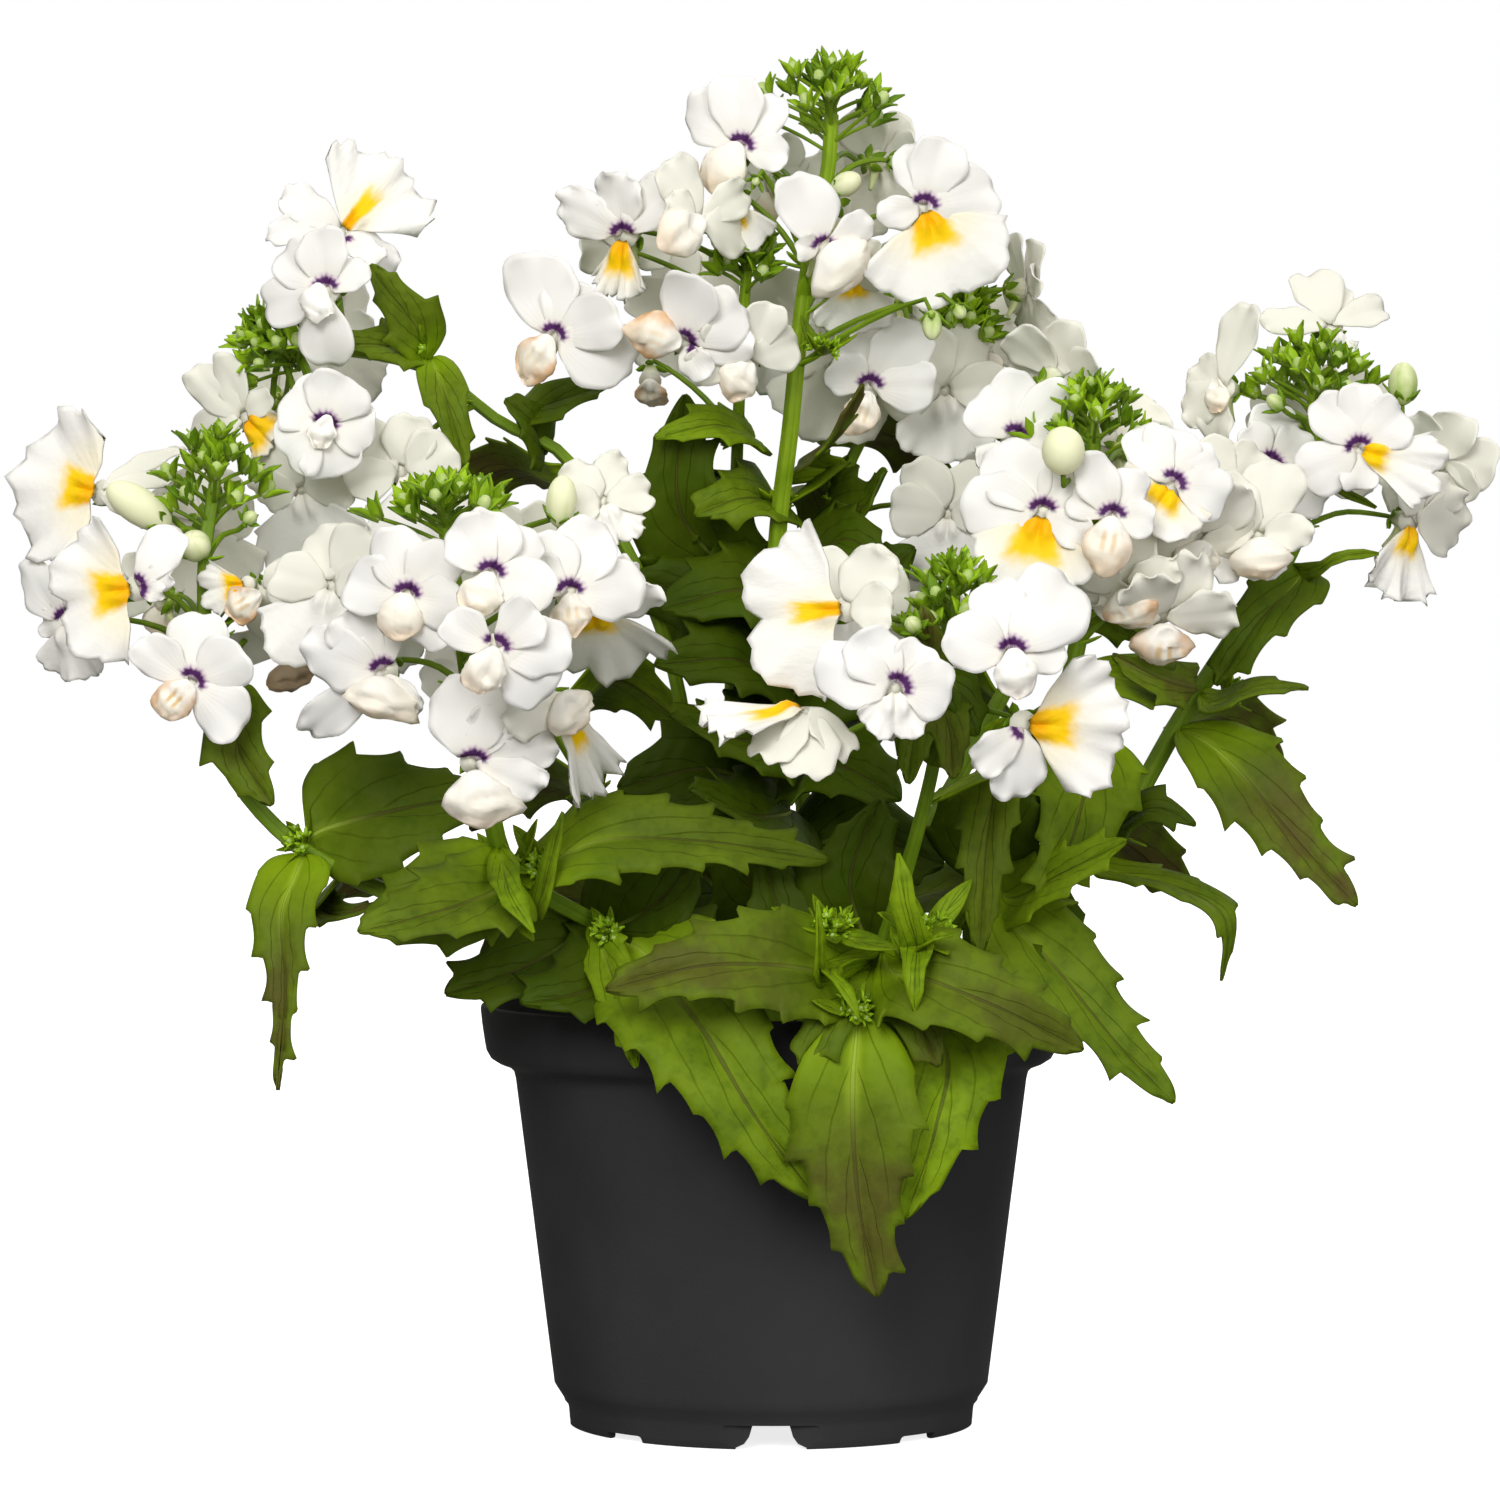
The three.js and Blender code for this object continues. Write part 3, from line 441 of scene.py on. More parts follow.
def tube_blank(sides, rings):
    pick()
    bpy.ops.mesh.primitive_cylinder_add(vertices=sides, radius=1, depth=1, location=(0, 0, 0.5))
    bpy.ops.object.transform_apply(location=True)
    tube = bpy.context.object
    bpy.ops.object.mode_set(mode="EDIT")
    bpy.ops.mesh.select_mode(type="EDGE")
    bpy.ops.object.mode_set(mode="OBJECT")
    for edge in tube.data.edges:
        low, high = sorted(tube.data.vertices[i].co.z for i in edge.vertices)
        edge.select = high - low > 0.5
    bpy.ops.object.mode_set(mode="EDIT")
    bpy.ops.mesh.subdivide(number_cuts=rings)
    bpy.ops.object.mode_set(mode="OBJECT")
    return take_blank(tube)


def ball_blank(segments, rings):
    pick()
    bpy.ops.mesh.primitive_uv_sphere_add(segments=segments, ring_count=rings, radius=1)
    return take_blank(bpy.context.object)


LOBE = slab_blank(12, 12)
LIP = slab_blank(26, 16)
LEAF = slab_blank(12, 72)
SMALL_LEAF = slab_blank(4, 8)
SEPAL = slab_blank(2, 3)
STEM_TUBE = tube_blank(12, 40)
STALK_TUBE = tube_blank(6, 7)
BALL = ball_blank(20, 14)
BUD_BALL = ball_blank(7, 5)
print("blanks:", {"lobe": len(LOBE[1]), "lip": len(LIP[1]), "leaf": len(LEAF[1]),
                  "stem": len(STEM_TUBE[1]), "stalk": len(STALK_TUBE[1]), "bud": len(BUD_BALL[1])})

# %% Shaping a blank
FAR = 40


def sheet(blank, surface, thickness, plain_back=False):
    """Lays a slab along a curved surface. surface(s, t) gives a point and three pattern numbers.

    The far side of a petal is plain: its second pattern number is moved far outside the marks."""
    points, faces = blank
    s, t, side = points[:, 0], points[:, 1], points[:, 2]
    here = surface(s, t)
    step, inset = 0.03, 0.92
    s, t = s * inset, t * inset
    across = surface(s + step, t)[:, :3] - surface(s - step, t)[:, :3]
    along = surface(s, t + step)[:, :3] - surface(s, t - step)[:, :3]
    normal = np.cross(across, along)
    normal /= np.linalg.norm(normal, axis=1, keepdims=True) + 1e-9
    marks = here[:, 3:]
    if plain_back:
        marks[side < 0, 1] -= FAR
    return here[:, :3] + normal * (side * thickness)[:, None], faces, marks


def tube(blank, route, radius, ridges=0.0, tone=1.0):
    """Lays a tube along a route. radius is one number, or one for each end."""
    points, faces = blank
    rings = len(set(np.round(points[:, 2], 4)))
    line = smooth_route(route, rings)
    way = units(np.gradient(line, axis=0))
    side = unit(np.cross(way[0], [0.31, 0.87, 0.12]))
    sides = []
    for direction in way:
        side = unit(side - direction * side.dot(direction))
        sides.append(side)
    sides = np.array(sides)
    backs = np.cross(way, sides)
    ring = np.round(points[:, 2] * (rings - 1)).astype(int)
    first, last = radius if isinstance(radius, tuple) else (radius, radius)
    angle = np.arctan2(points[:, 1], points[:, 0])
    wide = np.hypot(points[:, 0], points[:, 1])
    wide = wide * (first + (last - first) * points[:, 2]) * (1 + ridges * np.cos(4 * angle))
    spots = line[ring] + sides[ring] * (np.cos(angle) * wide)[:, None]
    spots += backs[ring] * (np.sin(angle) * wide)[:, None]
    marks = np.stack([np.cos(angle), np.sin(angle), np.full(len(angle), tone)], axis=1)
    return spots, faces, marks


def make_piece(name, parts, slot, *nodes):
    """One object from many parts. A part is its points, faces, pattern numbers and finish."""
    looks = list(dict.fromkeys(part[3] for part in parts))
    faces, finishes, start = [], [], 0
    for spots, part_faces, _, look in parts:
        faces += [tuple(i + start for i in face) for face in part_faces]
        finishes += [looks.index(look)] * len(part_faces)
        start += len(spots)
    mesh = bpy.data.meshes.new(name)
    mesh.from_pydata(np.concatenate([part[0] for part in parts]) * MM, [], faces)
    for look in looks:
        mesh.materials.append(look)
    mesh.polygons.foreach_set("material_index", finishes)
    marks = mesh.attributes.new("pattern", "FLOAT_VECTOR", "POINT")
    marks.data.foreach_set("vector", np.concatenate([part[2] for part in parts]).ravel())
    mesh.shade_smooth()
    piece = bpy.data.objects.new(name, mesh)
    bpy.context.collection.objects.link(piece)
    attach(piece, "root")
    if nodes:
        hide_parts(*nodes)
    return piece


def faces_of(piece):
    return sum(len(p.vertices) - 2 for p in piece.data.polygons)


print("a stem tube has", len(STEM_TUBE[0]), "points")

# %% [markdown]
# ## The pot
# A nursery pot is blown or moulded in one piece: a narrow foot ring, a wall that widens upwards,
# and a deep rim band that lets pots nest. It is a turned shape, so we start from one circle and
# extrude it again and again, each time up by a step and scaled to the next radius. Spinning a
# profile gives the same shape, but this way each ring can be read as a height and a radius.

# %% Turn the pot
POT_RINGS = [
    (0.5, 5.6), (24, 5.6), (28, 5.6), (37, 5.6), (39.6, 5.4), (40.2, 4.8), (40.2, 0.4),
    (40.5, 0.05), (41.5, 0.0), (42.1, 0.15), (42.4, 0.8), (42.7, 2.0), (43.0, 4.6), (43.3, 5.6),
    (44.6, 7.6), (45.2, 8.6), (45.4, 10.2), (47.4, 26.0), (49.9, 46.0), (52.2, 64.0),
    (53.2, 71.8), (53.6, 73.4), (54.6, 74.4), (56.8, 75.2), (58.4, 76.2), (59.3, 77.8),
    (59.6, 79.4), (60.2, 83.4), (60.5, 86.4), (60.35, 87.05), (59.8, 87.4), (59.2, 87.1),
    (58.9, 86.2), (58.2, 80.0), (57.6, 77.4), (55.8, 76.0), (52.4, 75.0), (51.8, 73.0),
    (44.0, 9.8), (42.8, 8.4), (41.0, 7.0), (24, 7.0), (0.5, 7.0)]

pick()
bpy.ops.mesh.primitive_circle_add(vertices=120, radius=POT_RINGS[0][0] * MM, fill_type="NGON",
                                  location=(0, 0, POT_RINGS[0][1] * MM))
pot = bpy.context.object
pot.name = "nursery_pot"
bpy.ops.object.transform_apply(location=True)
bpy.ops.object.mode_set(mode="EDIT")
bpy.ops.mesh.select_all(action="SELECT")
for (radius, height), (next_radius, next_height) in zip(POT_RINGS, POT_RINGS[1:]):
    bpy.ops.mesh.extrude_region_move(
        TRANSFORM_OT_translate={"value": (0, 0, (next_height - height) * MM)})
    scale = next_radius / radius
    bpy.ops.transform.resize(value=(scale, scale, 1), center_override=(0, 0, 0))
faces_outwards()
print("pot:", len(pot.data.polygons), "faces")

# %% [markdown]
# The foot ring has four gates, so that water can run out from under the pot, and between them
# four shallow nicks. At a gate the ring is first set back, 20 mm wide, and then cut through in
# the shape of a bell. The floor has drain holes. One Boolean modifier cuts them all.

# %% Cut the gates and the drain holes
GATE_WIDTH = 20
GATE_HEIGHT = 5.0
NICK_WIDTH = 10
BELL = [(-7.3, -1), (-7.1, 0.4), (-5.4, 1.2), (-4.4, 2.6), (-3.7, GATE_HEIGHT), (3.7, GATE_HEIGHT),
        (4.4, 2.6), (5.4, 1.2), (7.1, 0.4), (7.3, -1)]


def turned_cutter(turn):
    """The selected cutter, turned about the pot's axis and with its place in its mesh."""
    cutter = bpy.context.object
    cutter.data.transform(Matrix.Rotation(turn, 4, "Z") @ Matrix.Translation(cutter.location))
    cutter.location = (0, 0, 0)
    return cutter


def add_block(size, place, turn):
    pick()
    bpy.ops.mesh.primitive_cube_add(size=1, location=[c * MM for c in place])
    block = bpy.context.object
    block.scale = [c * MM for c in size]
    bpy.ops.object.transform_apply(location=False, rotation=False, scale=True)
    bpy.ops.object.modifier_add(type="BEVEL")
    block.modifiers[0].width = min(0.8, size[2] * 0.3) * MM
    block.modifiers[0].segments = 3
    bpy.ops.object.modifier_apply(modifier=block.modifiers[0].name)
    return turned_cutter(turn)


def add_bell(turn):
    """The bell's outline as one face, extruded from outside the ring to inside it."""
    pick()
    bpy.ops.mesh.primitive_circle_add(vertices=len(BELL), radius=MM, fill_type="NGON")
    bell = bpy.context.object
    for corner, (across, up) in zip(bell.data.vertices, BELL):
        corner.co = (across * MM, -50 * MM, up * MM)
    bpy.ops.object.mode_set(mode="EDIT")
    bpy.ops.mesh.select_all(action="SELECT")
    bpy.ops.mesh.extrude_region_move(TRANSFORM_OT_translate={"value": (0, 14 * MM, 0)})
    faces_outwards()
    return turned_cutter(turn)


cutters = []
for quarter in range(4):
    turn = quarter * math.pi / 2
    cutters.append(add_block((GATE_WIDTH, 8, GATE_HEIGHT * 2), (0, -45.6, 0), turn))
    cutters.append(add_bell(turn))
    cutters.append(add_block((NICK_WIDTH, 14, 3.0), (0, -43, 0), turn + math.pi / 4))
    pick()
    bpy.ops.mesh.primitive_cylinder_add(vertices=24, radius=4 * MM, depth=12 * MM,
                                        location=(0, -33 * MM, 6 * MM))
    cutters.append(turned_cutter(turn))
pick(*cutters)
bpy.ops.object.join()
cutter = bpy.context.object
pick(pot)
bpy.ops.object.modifier_add(type="BOOLEAN")
pot.modifiers[0].object = cutter
pot.modifiers[0].operation = "DIFFERENCE"
pot.modifiers[0].use_self = True
bpy.ops.object.modifier_apply(modifier=pot.modifiers[0].name)
bpy.data.objects.remove(cutter)
pot.data.materials.clear()
pot.data.materials.append(pot_look)
bpy.ops.object.shade_smooth_by_angle(angle=math.radians(32))
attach(pot, "root")
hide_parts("pot")
print("pot with gates:", len(pot.data.polygons), "faces")

# %% [markdown]
# ## The soil
# Potting soil is a loose mass of peat crumbs and bark. A slab blank, laid as a disc inside the
# rim, is its top, roughened with noise. A tube blank is the block below it, and loose crumbs lie
# on the top. They are all one small ball blank, pushed out of shape.

# %% Soil
SOIL_TOP = 79.0
SOIL_EDGE = 77.9
SOIL_RADIUS = 56.6
NECK_RADIUS = 51.0
NECK_HEIGHT = 74.4
BOTTOM_RADIUS = 40.6
BOTTOM_HEIGHT = 7.4
CRUMB_COUNT = 240
CRUMB_REACH = 54


def soil_height(x, y):
    rough = [noise.noise(Vector((a * 0.11, b * 0.11, 3))) * 1.6
             + noise.noise(Vector((a * 0.4, b * 0.4, 9))) * 1.0 for a, b in zip(x, y)]
    return SOIL_TOP - 0.4 + np.array(rough)


def soil_top():
    points, faces = slab_blank(56, 56)
    x = points[:, 0] * np.sqrt(1 - points[:, 1] ** 2 / 2)
    y = points[:, 1] * np.sqrt(1 - points[:, 0] ** 2 / 2)
    top = points[:, 2] > 0
    wide = np.where(top, SOIL_RADIUS, NECK_RADIUS)
    z = np.where(top, soil_height(x * wide, y * wide), NECK_HEIGHT)
    spots = np.stack([x * wide, y * wide, z], axis=1)
    edge = top & (np.hypot(x, y) > 0.995)
    spots[edge, 2] = SOIL_EDGE
    return spots, faces, np.zeros_like(spots), soil_look


dice = random.Random("crumbs")
block = tube(tube_blank(48, 3), [[0, 0, BOTTOM_HEIGHT], [0, 0, 40], [0, 0, NECK_HEIGHT - 0.2]],
             (BOTTOM_RADIUS, NECK_RADIUS))
soil_parts = [soil_top(), (*block, soil_look)]
for _ in range(CRUMB_COUNT):
    reach, turn = CRUMB_REACH * dice.random() ** 0.5, dice.uniform(0, 2 * math.pi)
    x, y = reach * math.cos(turn), reach * math.sin(turn)
    size = dice.uniform(0.7, 2.6)
    spots = BUD_BALL[0] * [size * dice.uniform(0.7, 1.4), size, size * dice.uniform(0.5, 0.9)]
    spots = spots @ np.array(Matrix.Rotation(dice.uniform(0, 6), 3, "Z"))
    spots = spots + [x, y, soil_height([x], [y])[0] + size * 0.1]
    soil_parts.append((spots, BUD_BALL[1], np.zeros_like(spots), soil_look))
soil = make_piece("potting_soil_block", soil_parts, "potting_soil", "soil")
print("soil:", faces_of(soil), "triangles")

# %% [markdown]
# ## The stems
# Twelve flowering stems leave the soil and lean outwards. A nemesia stem is four-angled, about
# 4 mm thick, and ends in a spike of buds. Each row gives the stem's root in the soil, the places
# that it passes, and the size of its spike. Stems at the back can't be seen in the photograph.

# %% Where the stems go
STEMS = {
    "crown": ([0, 2], [[1, 180, -4], [4, 207, -14], [7, 236, -15], [12, 262, -8], [12.5, 272, -6]],
              [14.5, 19]),
    "upper_mid": ([-9, 8], [[-8, 171, 8], [-7, 204, 4], [-6, 227, -5], [-5, 241, -9]], [6, 14]),
    "upper_right": ([7, 12], [[8, 171, 14], [13, 190, 14], [19, 205, 12], [29, 217, 10],
                              [40, 228, 8]], [6, 13]),
    "upper_left": ([-16, 0], [[-17, 138, -4], [-25, 171, -6], [-44, 202, -8], [-56, 208, -10],
                              [-71, 219, -14], [-88, 223, -18], [-102, 223, -22]], [8, 15]),
    "far_left": ([-25, -12], [[-42, 97, -28], [-61, 106, -38], [-79, 110, -44], [-100, 121, -48],
                              [-114, 138, -50], [-117, 151, -50], [-118, 180, -48],
                              [-116, 194, -46]], [11, 22]),
    "left_centre": ([-13, -20], [[-27, 97, -34], [-54, 115, -52], [-59, 130, -62],
                                 [-64, 161, -70], [-68, 188, -72]], [12, 12]),
    "right_front": ([14, -34], [[20, 90, -50], [27, 111, -60], [34, 138, -72], [36, 157, -80],
                                [38, 168, -82]], [11, 20]),
    "right_centre": ([18, -14], [[37, 102, -20], [55, 132, -26], [64, 163, -29],
                                 [67, 188, -30], [67, 206, -32]], [11, 19]),
    "far_right": ([24, 4], [[40, 95, 0], [56, 111, -4], [71, 123, -4], [85, 146, -2],
                            [96, 163, 0], [108, 181, 2], [113, 200, 2], [113, 215, 2]], [13, 18]),
    "back_left": ([-12, 20], [[-22, 104, 38], [-36, 130, 56], [-50, 155, 72], [-56, 178, 82]],
                  [8, 16]),
    "back_right": ([16, 22], [[26, 110, 38], [42, 140, 52], [56, 168, 66], [64, 198, 76]],
                   [8, 16]),
    "back_mid": ([2, 30], [[5, 102, 52], [10, 122, 72], [15, 142, 86], [17, 160, 92]], [8, 16]),
}
SIDE_SHOOT = [[20, 91, -51], [19, 91, -60], [18, 86, -67]]
STEM_RADIUS = 2.0
STEM_POINTS = 60


def stem_line(name):
    root, route, _ = STEMS[name]
    return smooth_route([[*root, SOIL_TOP - 4], *map(on_sight_line, route)], STEM_POINTS)


print(len(STEMS), "stems, the tallest", round(max(stem_line(n)[-1][2] for n in STEMS)), "mm")

# %% [markdown]
# ## Where the flowers are
# Each row gives the place of the flower's throat, whether its lip is open or still a pouch, its
# size beside a flower 28 mm wide, and how its face is turned in degrees: to the right, upwards,
# and anticlockwise. What differs from the usual flower follows: the upper lobes, each as
# direction, length and width, how far they tilt, and whether they are plain, without marks and
# painted greenish cream, partly as painted shade; the pouch as width, height and how low it
# hangs, its age, and a corner that is pulled out; the way that the lip points, its length,
# opening, lift and frills, how round it is, and how far its yellow fades and narrows. A large
# bud is a row too, with its width, its length and how ripe it is. The largest flowers are listed
# by stem, and each of them has a solid of its own in the plain model.

# %% The largest flowers
BLOOMS = {
    "crown": [
        ([-6.5, 265.5, -18], "pouch", 1.0, [-12, 5, -28],
         {"lobes": [(-75, 9, 8), (-12, 12.5, 8.5), (32, 14.2, 11.5), (73, 14, 11.5)],
          "pouch": (10.2, 10.5, 5.8), "lip": -4}),
        ([32, 253, -26], "open", 1.0, [10, -5, -15],
         {"lobes": [(-58, 14.8, 13), (1, 14, 12), (28, 12.5, 9.5), (118, 9, 7)], "lip": 34,
          "long": 20.5, "opening": 66, "fade": -1, "narrow": 0.8}),
        ([11, 244, -30], "pouch", 1.0, [25, -15, 0],
         {"lobes": [(-62, 12, 8), (22, 15.5, 13), (85, 5, 6)], "pouch": (16, 10, 5.2), "lip": 50,
          "age": -0.2}),
    ],
    "upper_mid": [
        ([-31, 247, -20], "open", 1.0, [-25, -10, 0],
         {"lobes": [(-45, 14, 10), (0, 12.5, 11), (58, 15, 10)], "lip": -10, "long": 13,
          "opening": 36, "frill": 1.4, "narrow": 1.3}),
        ([-45.5, 226, -30], "pouch", 1.0, [-15, -5, -25],
         {"lobes": [(-88, 16.5, 14), (-47, 15, 12), (0, 12, 11), (37, 17, 15.5)],
          "pouch": (9.6, 9.8, 5.8), "lip": -13, "age": 1.0}),
        ([-18.5, 224.8, -38], "pouch", 1.0, [-5, -15, -70],
         {"lobes": [(-80, 8, 7), (-25, 14, 9), (12, 14, 13), (58, 14.5, 12)],
          "pouch": (10.6, 10, 6.2), "lip": -38, "age": 1.0}),
    ],
    "upper_right": [
        ([20.5, 215.5, -10], "pouch", 1.0, [5, -10, -8],
         {"lobes": [(-80, 13, 11), (-26, 16, 12), (20, 12, 11), (65, 9, 10)],
          "pouch": (8.2, 8.4, 6), "lip": -8}),
    ],
    "upper_left": [
        ([-89.2, 248.2, -16], "open", 1.0, [20, 22, 146],
         {"lobes": [(75, 10, 7), (-97, 14, 9), (-56, 15, 7), (100, 13, 8)], "long": 20.5,
          "opening": 50, "frill": 1.2, "fade": -4, "narrow": 2.2}),
        ([-93, 235.8, -38], "pouch", 1.0, [-15, 5, 0],
         {"lobes": [(-60, 9, 7), (5, 12, 11), (53, 13, 9.5), (103, 14, 10.5), (172, 14, 12)],
          "pouch": (8, 6, 3.5), "age": -1, "lip": -25}),
        ([-110.2, 209.4, -24], "open", 1.0, [-30, 0, 0],
         {"lobes": [(-60, 8, 6), (19, 12.5, 8), (50, 15, 9.5), (108, 16, 9)], "lip": 55,
          "long": 10, "opening": 42, "plain": True}),
    ],
    "far_left": [
        ([-140.4, 194, -42], "open", 1.0, [-32, 10, -92],
         {"lobes": [(-30, 6, 4), (32, 11, 4.5), (67, 13.5, 5)], "tilt": -38, "long": 21,
          "opening": 84, "round": 0.42, "frill": 1.5, "plain": True, "fade": -1}),
        ([-132.8, 173.8, -64], "open", 1.0, [-20, 0, -80],
         {"lobes": [(-20, 6, 4.5), (10, 8, 5.5), (45, 13.5, 9)], "long": 17.5, "opening": 75,
          "frill": 0.8, "fade": -1}),
        ([-147.4, 166.8, -44], "open", 1.0, [-30, -5, 0],
         {"lobes": [(-60, 6, 6), (10, 8, 7), (46, 16.5, 9.5), (98, 7, 6)], "lip": 0,
          "long": 12.5, "opening": 54, "fade": 9, "lift": -0.2}),
        ([-121, 154, -68], "pouch", 1.0, [-5, -5, -38],
         {"lobes": [(-92, 13, 12), (-22, 12.2, 11.5), (30, 13.3, 12), (88, 12.5, 9)],
          "pouch": (8.4, 8.2, 4.8), "age": 0.6, "lip": -6}),
    ],
    "left_centre": [
        ([-76, 172, -90], "pouch", 1.0, [-8, 0, -13],
         {"lobes": [(-86, 11, 10.5), (-28, 12.5, 11), (28, 13, 11.5), (88, 12.5, 12), (-128, 11.5, 9)],
          "pouch": (9.6, 8.2, 4.6), "lip": 2}),
        ([-58.5, 176.5, -100], "pouch", 1.0, [0, 5, -18],
         {"lobes": [(-87, 11.8, 11.5), (-26, 11, 10.5), (12, 11.7, 11), (50, 11.4, 11)],
          "pouch": (9.2, 7.6, 4.6), "age": -0.3}),
        ([-42, 172.6, -90], "pouch", 1.0, [10, 0, -4],
         {"lobes": [(-82, 14.4, 12.5), (-12, 14.4, 13), (30, 12, 10.5), (60, 9.5, 9)],
          "pouch": (8.6, 6.6, 4.4)}),
        ([-57.5, 161.2, -108], "pouch", 1.0, [5, -8, -25],
         {"lobes": [(-105, 13.6, 12), (-68, 14, 12), (-22, 10.5, 10), (85, 10.5, 8.5)],
          "pouch": (8.6, 8.6, 5), "age": -0.3}),
        ([-62, 137.2, -88], "pouch", 1.0, [5, -15, 0],
         {"lobes": [(-114, 14, 9), (-80, 16, 9.5), (-22, 11, 9), (7, 15.5, 16)],
          "pouch": (14, 10.4, 7.4), "lip": 6, "corner": 70, "frill": 1.4, "age": -0.3}),
        ([-43, 149, -84], "open", 1.0, [40, -15, 34],
         {"lobes": [(60, 13, 12)], "pouch": (12, 8.5, 1.5), "long": 25, "opening": 20,
          "lift": -0.1, "frill": 1.6, "fade": -4, "narrow": 2.4, "plain": True, "age": 0.2}),
    ],
    "right_front": [
        ([15.4, 169.6, -96], "open", 1.0, [-20, 5, -76],
         {"lobes": [(-15, 9, 10), (46, 12.5, 12)], "plain": True, "lip": -8, "long": 20.5,
          "opening": 74, "frill": 1, "fade": -3, "narrow": 1.9}),
        ([26.2, 153, -110], "open", 1.0, [14, -5, -42],
         {"lobes": [(-48, 10.5, 12), (4, 9.5, 9.5), (76, 12, 11.5), (118, 14.8, 12.5)],
          "lip": 40, "long": 10, "opening": 60, "fade": 9}),
        ([50.2, 160.4, -104], "pouch", 1.0, [5, 0, -4],
         {"lobes": [(-38, 18, 16), (-86, 10, 9.5), (22, 13.5, 11), (80, 12.5, 12)],
          "pouch": (9, 8, 4.4), "lip": 12, "age": -0.8, "frill": 0.5}),
        ([52.8, 145.2, -94], "open", 1.0, [10, -8, 92],
         {"lobes": [(41, 12, 8), (86, 14.5, 10.5)], "lip": -2, "long": 20, "opening": 56,
          "frill": 1.2, "fade": -2, "narrow": 0.95}),
    ],
    "right_centre": [
        ([56.5, 189.6, -54], "open", 1.0, [-4, 0, -4],
         {"lobes": [(-114, 10, 7.5), (-36, 11.5, 12), (38, 15.6, 14.5), (84, 15.5, 14.5)],
          "lip": -8, "long": 17.5, "opening": 60, "fade": -2.5, "narrow": 0.72}),
        ([83.5, 195.4, -48], "open", 1.0, [8, 5, -40],
         {"lobes": [(-62, 11.8, 11.5), (-17, 10.5, 9.5), (36, 11.2, 12), (72, 13, 10)], "lip": 8,
          "long": 11.5, "opening": 84, "narrow": 1, "fade": 2.5}),
        ([82, 167.5, -42], "pouch", 1.0, [10, -40, 0],
         {"lobes": [(-80, 14, 12), (-20, 14, 12), (30, 14, 12), (85, 13, 11)], "plain": True,
          "frill": 1.6, "pouch": (13, 9, 6.5), "age": 0.7}),
    ],
    "far_right": [
        ([116.7, 228.6, 8], "open", 1.0, [5, 25, 0],
         {"lobes": [(14, 13.5, 11), (-14, 11, 8.5), (86, 14.5, 7), (-62, 14.5, 7.5)],
          "plain": True, "fade": 9, "frill": 0.6, "long": 8, "opening": 45}),
        ([122.4, 202.6, -22], "open", 1.0, [6, 0, 20],
         {"lobes": [(17, 13, 9.8), (-22, 13.1, 9.8), (-70, 12, 11), (98, 12.5, 11.5), (165, 8, 8)],
          "lip": 52, "long": 18, "opening": 32, "narrow": 1.4, "fade": 2}),
        ([133.8, 187.4, 0], "open", 1.0, [34, -10, -20],
         {"lobes": [(-70, 16, 14), (-30, 13, 12), (30, 9, 8)], "plain": True, "lip": 6,
          "long": 17, "frill": 1.4, "opening": 42, "narrow": 1.4, "fade": 1}),
        ([139, 200.5, 12], "open", 0.9, [150, 10, 70], {"fade": 9}),
    ],
    "back_left": [
        ([-60, 176, 106], "open", 1.05, [200, 0, 0], {}),
    ],
    "back_right": [
        ([70, 196, 100], "open", 1.05, [155, 0, 0], {}),
    ],
    "back_mid": [
        ([20, 158, 114], "open", 1.05, [180, -5, 0], {}),
    ],
}

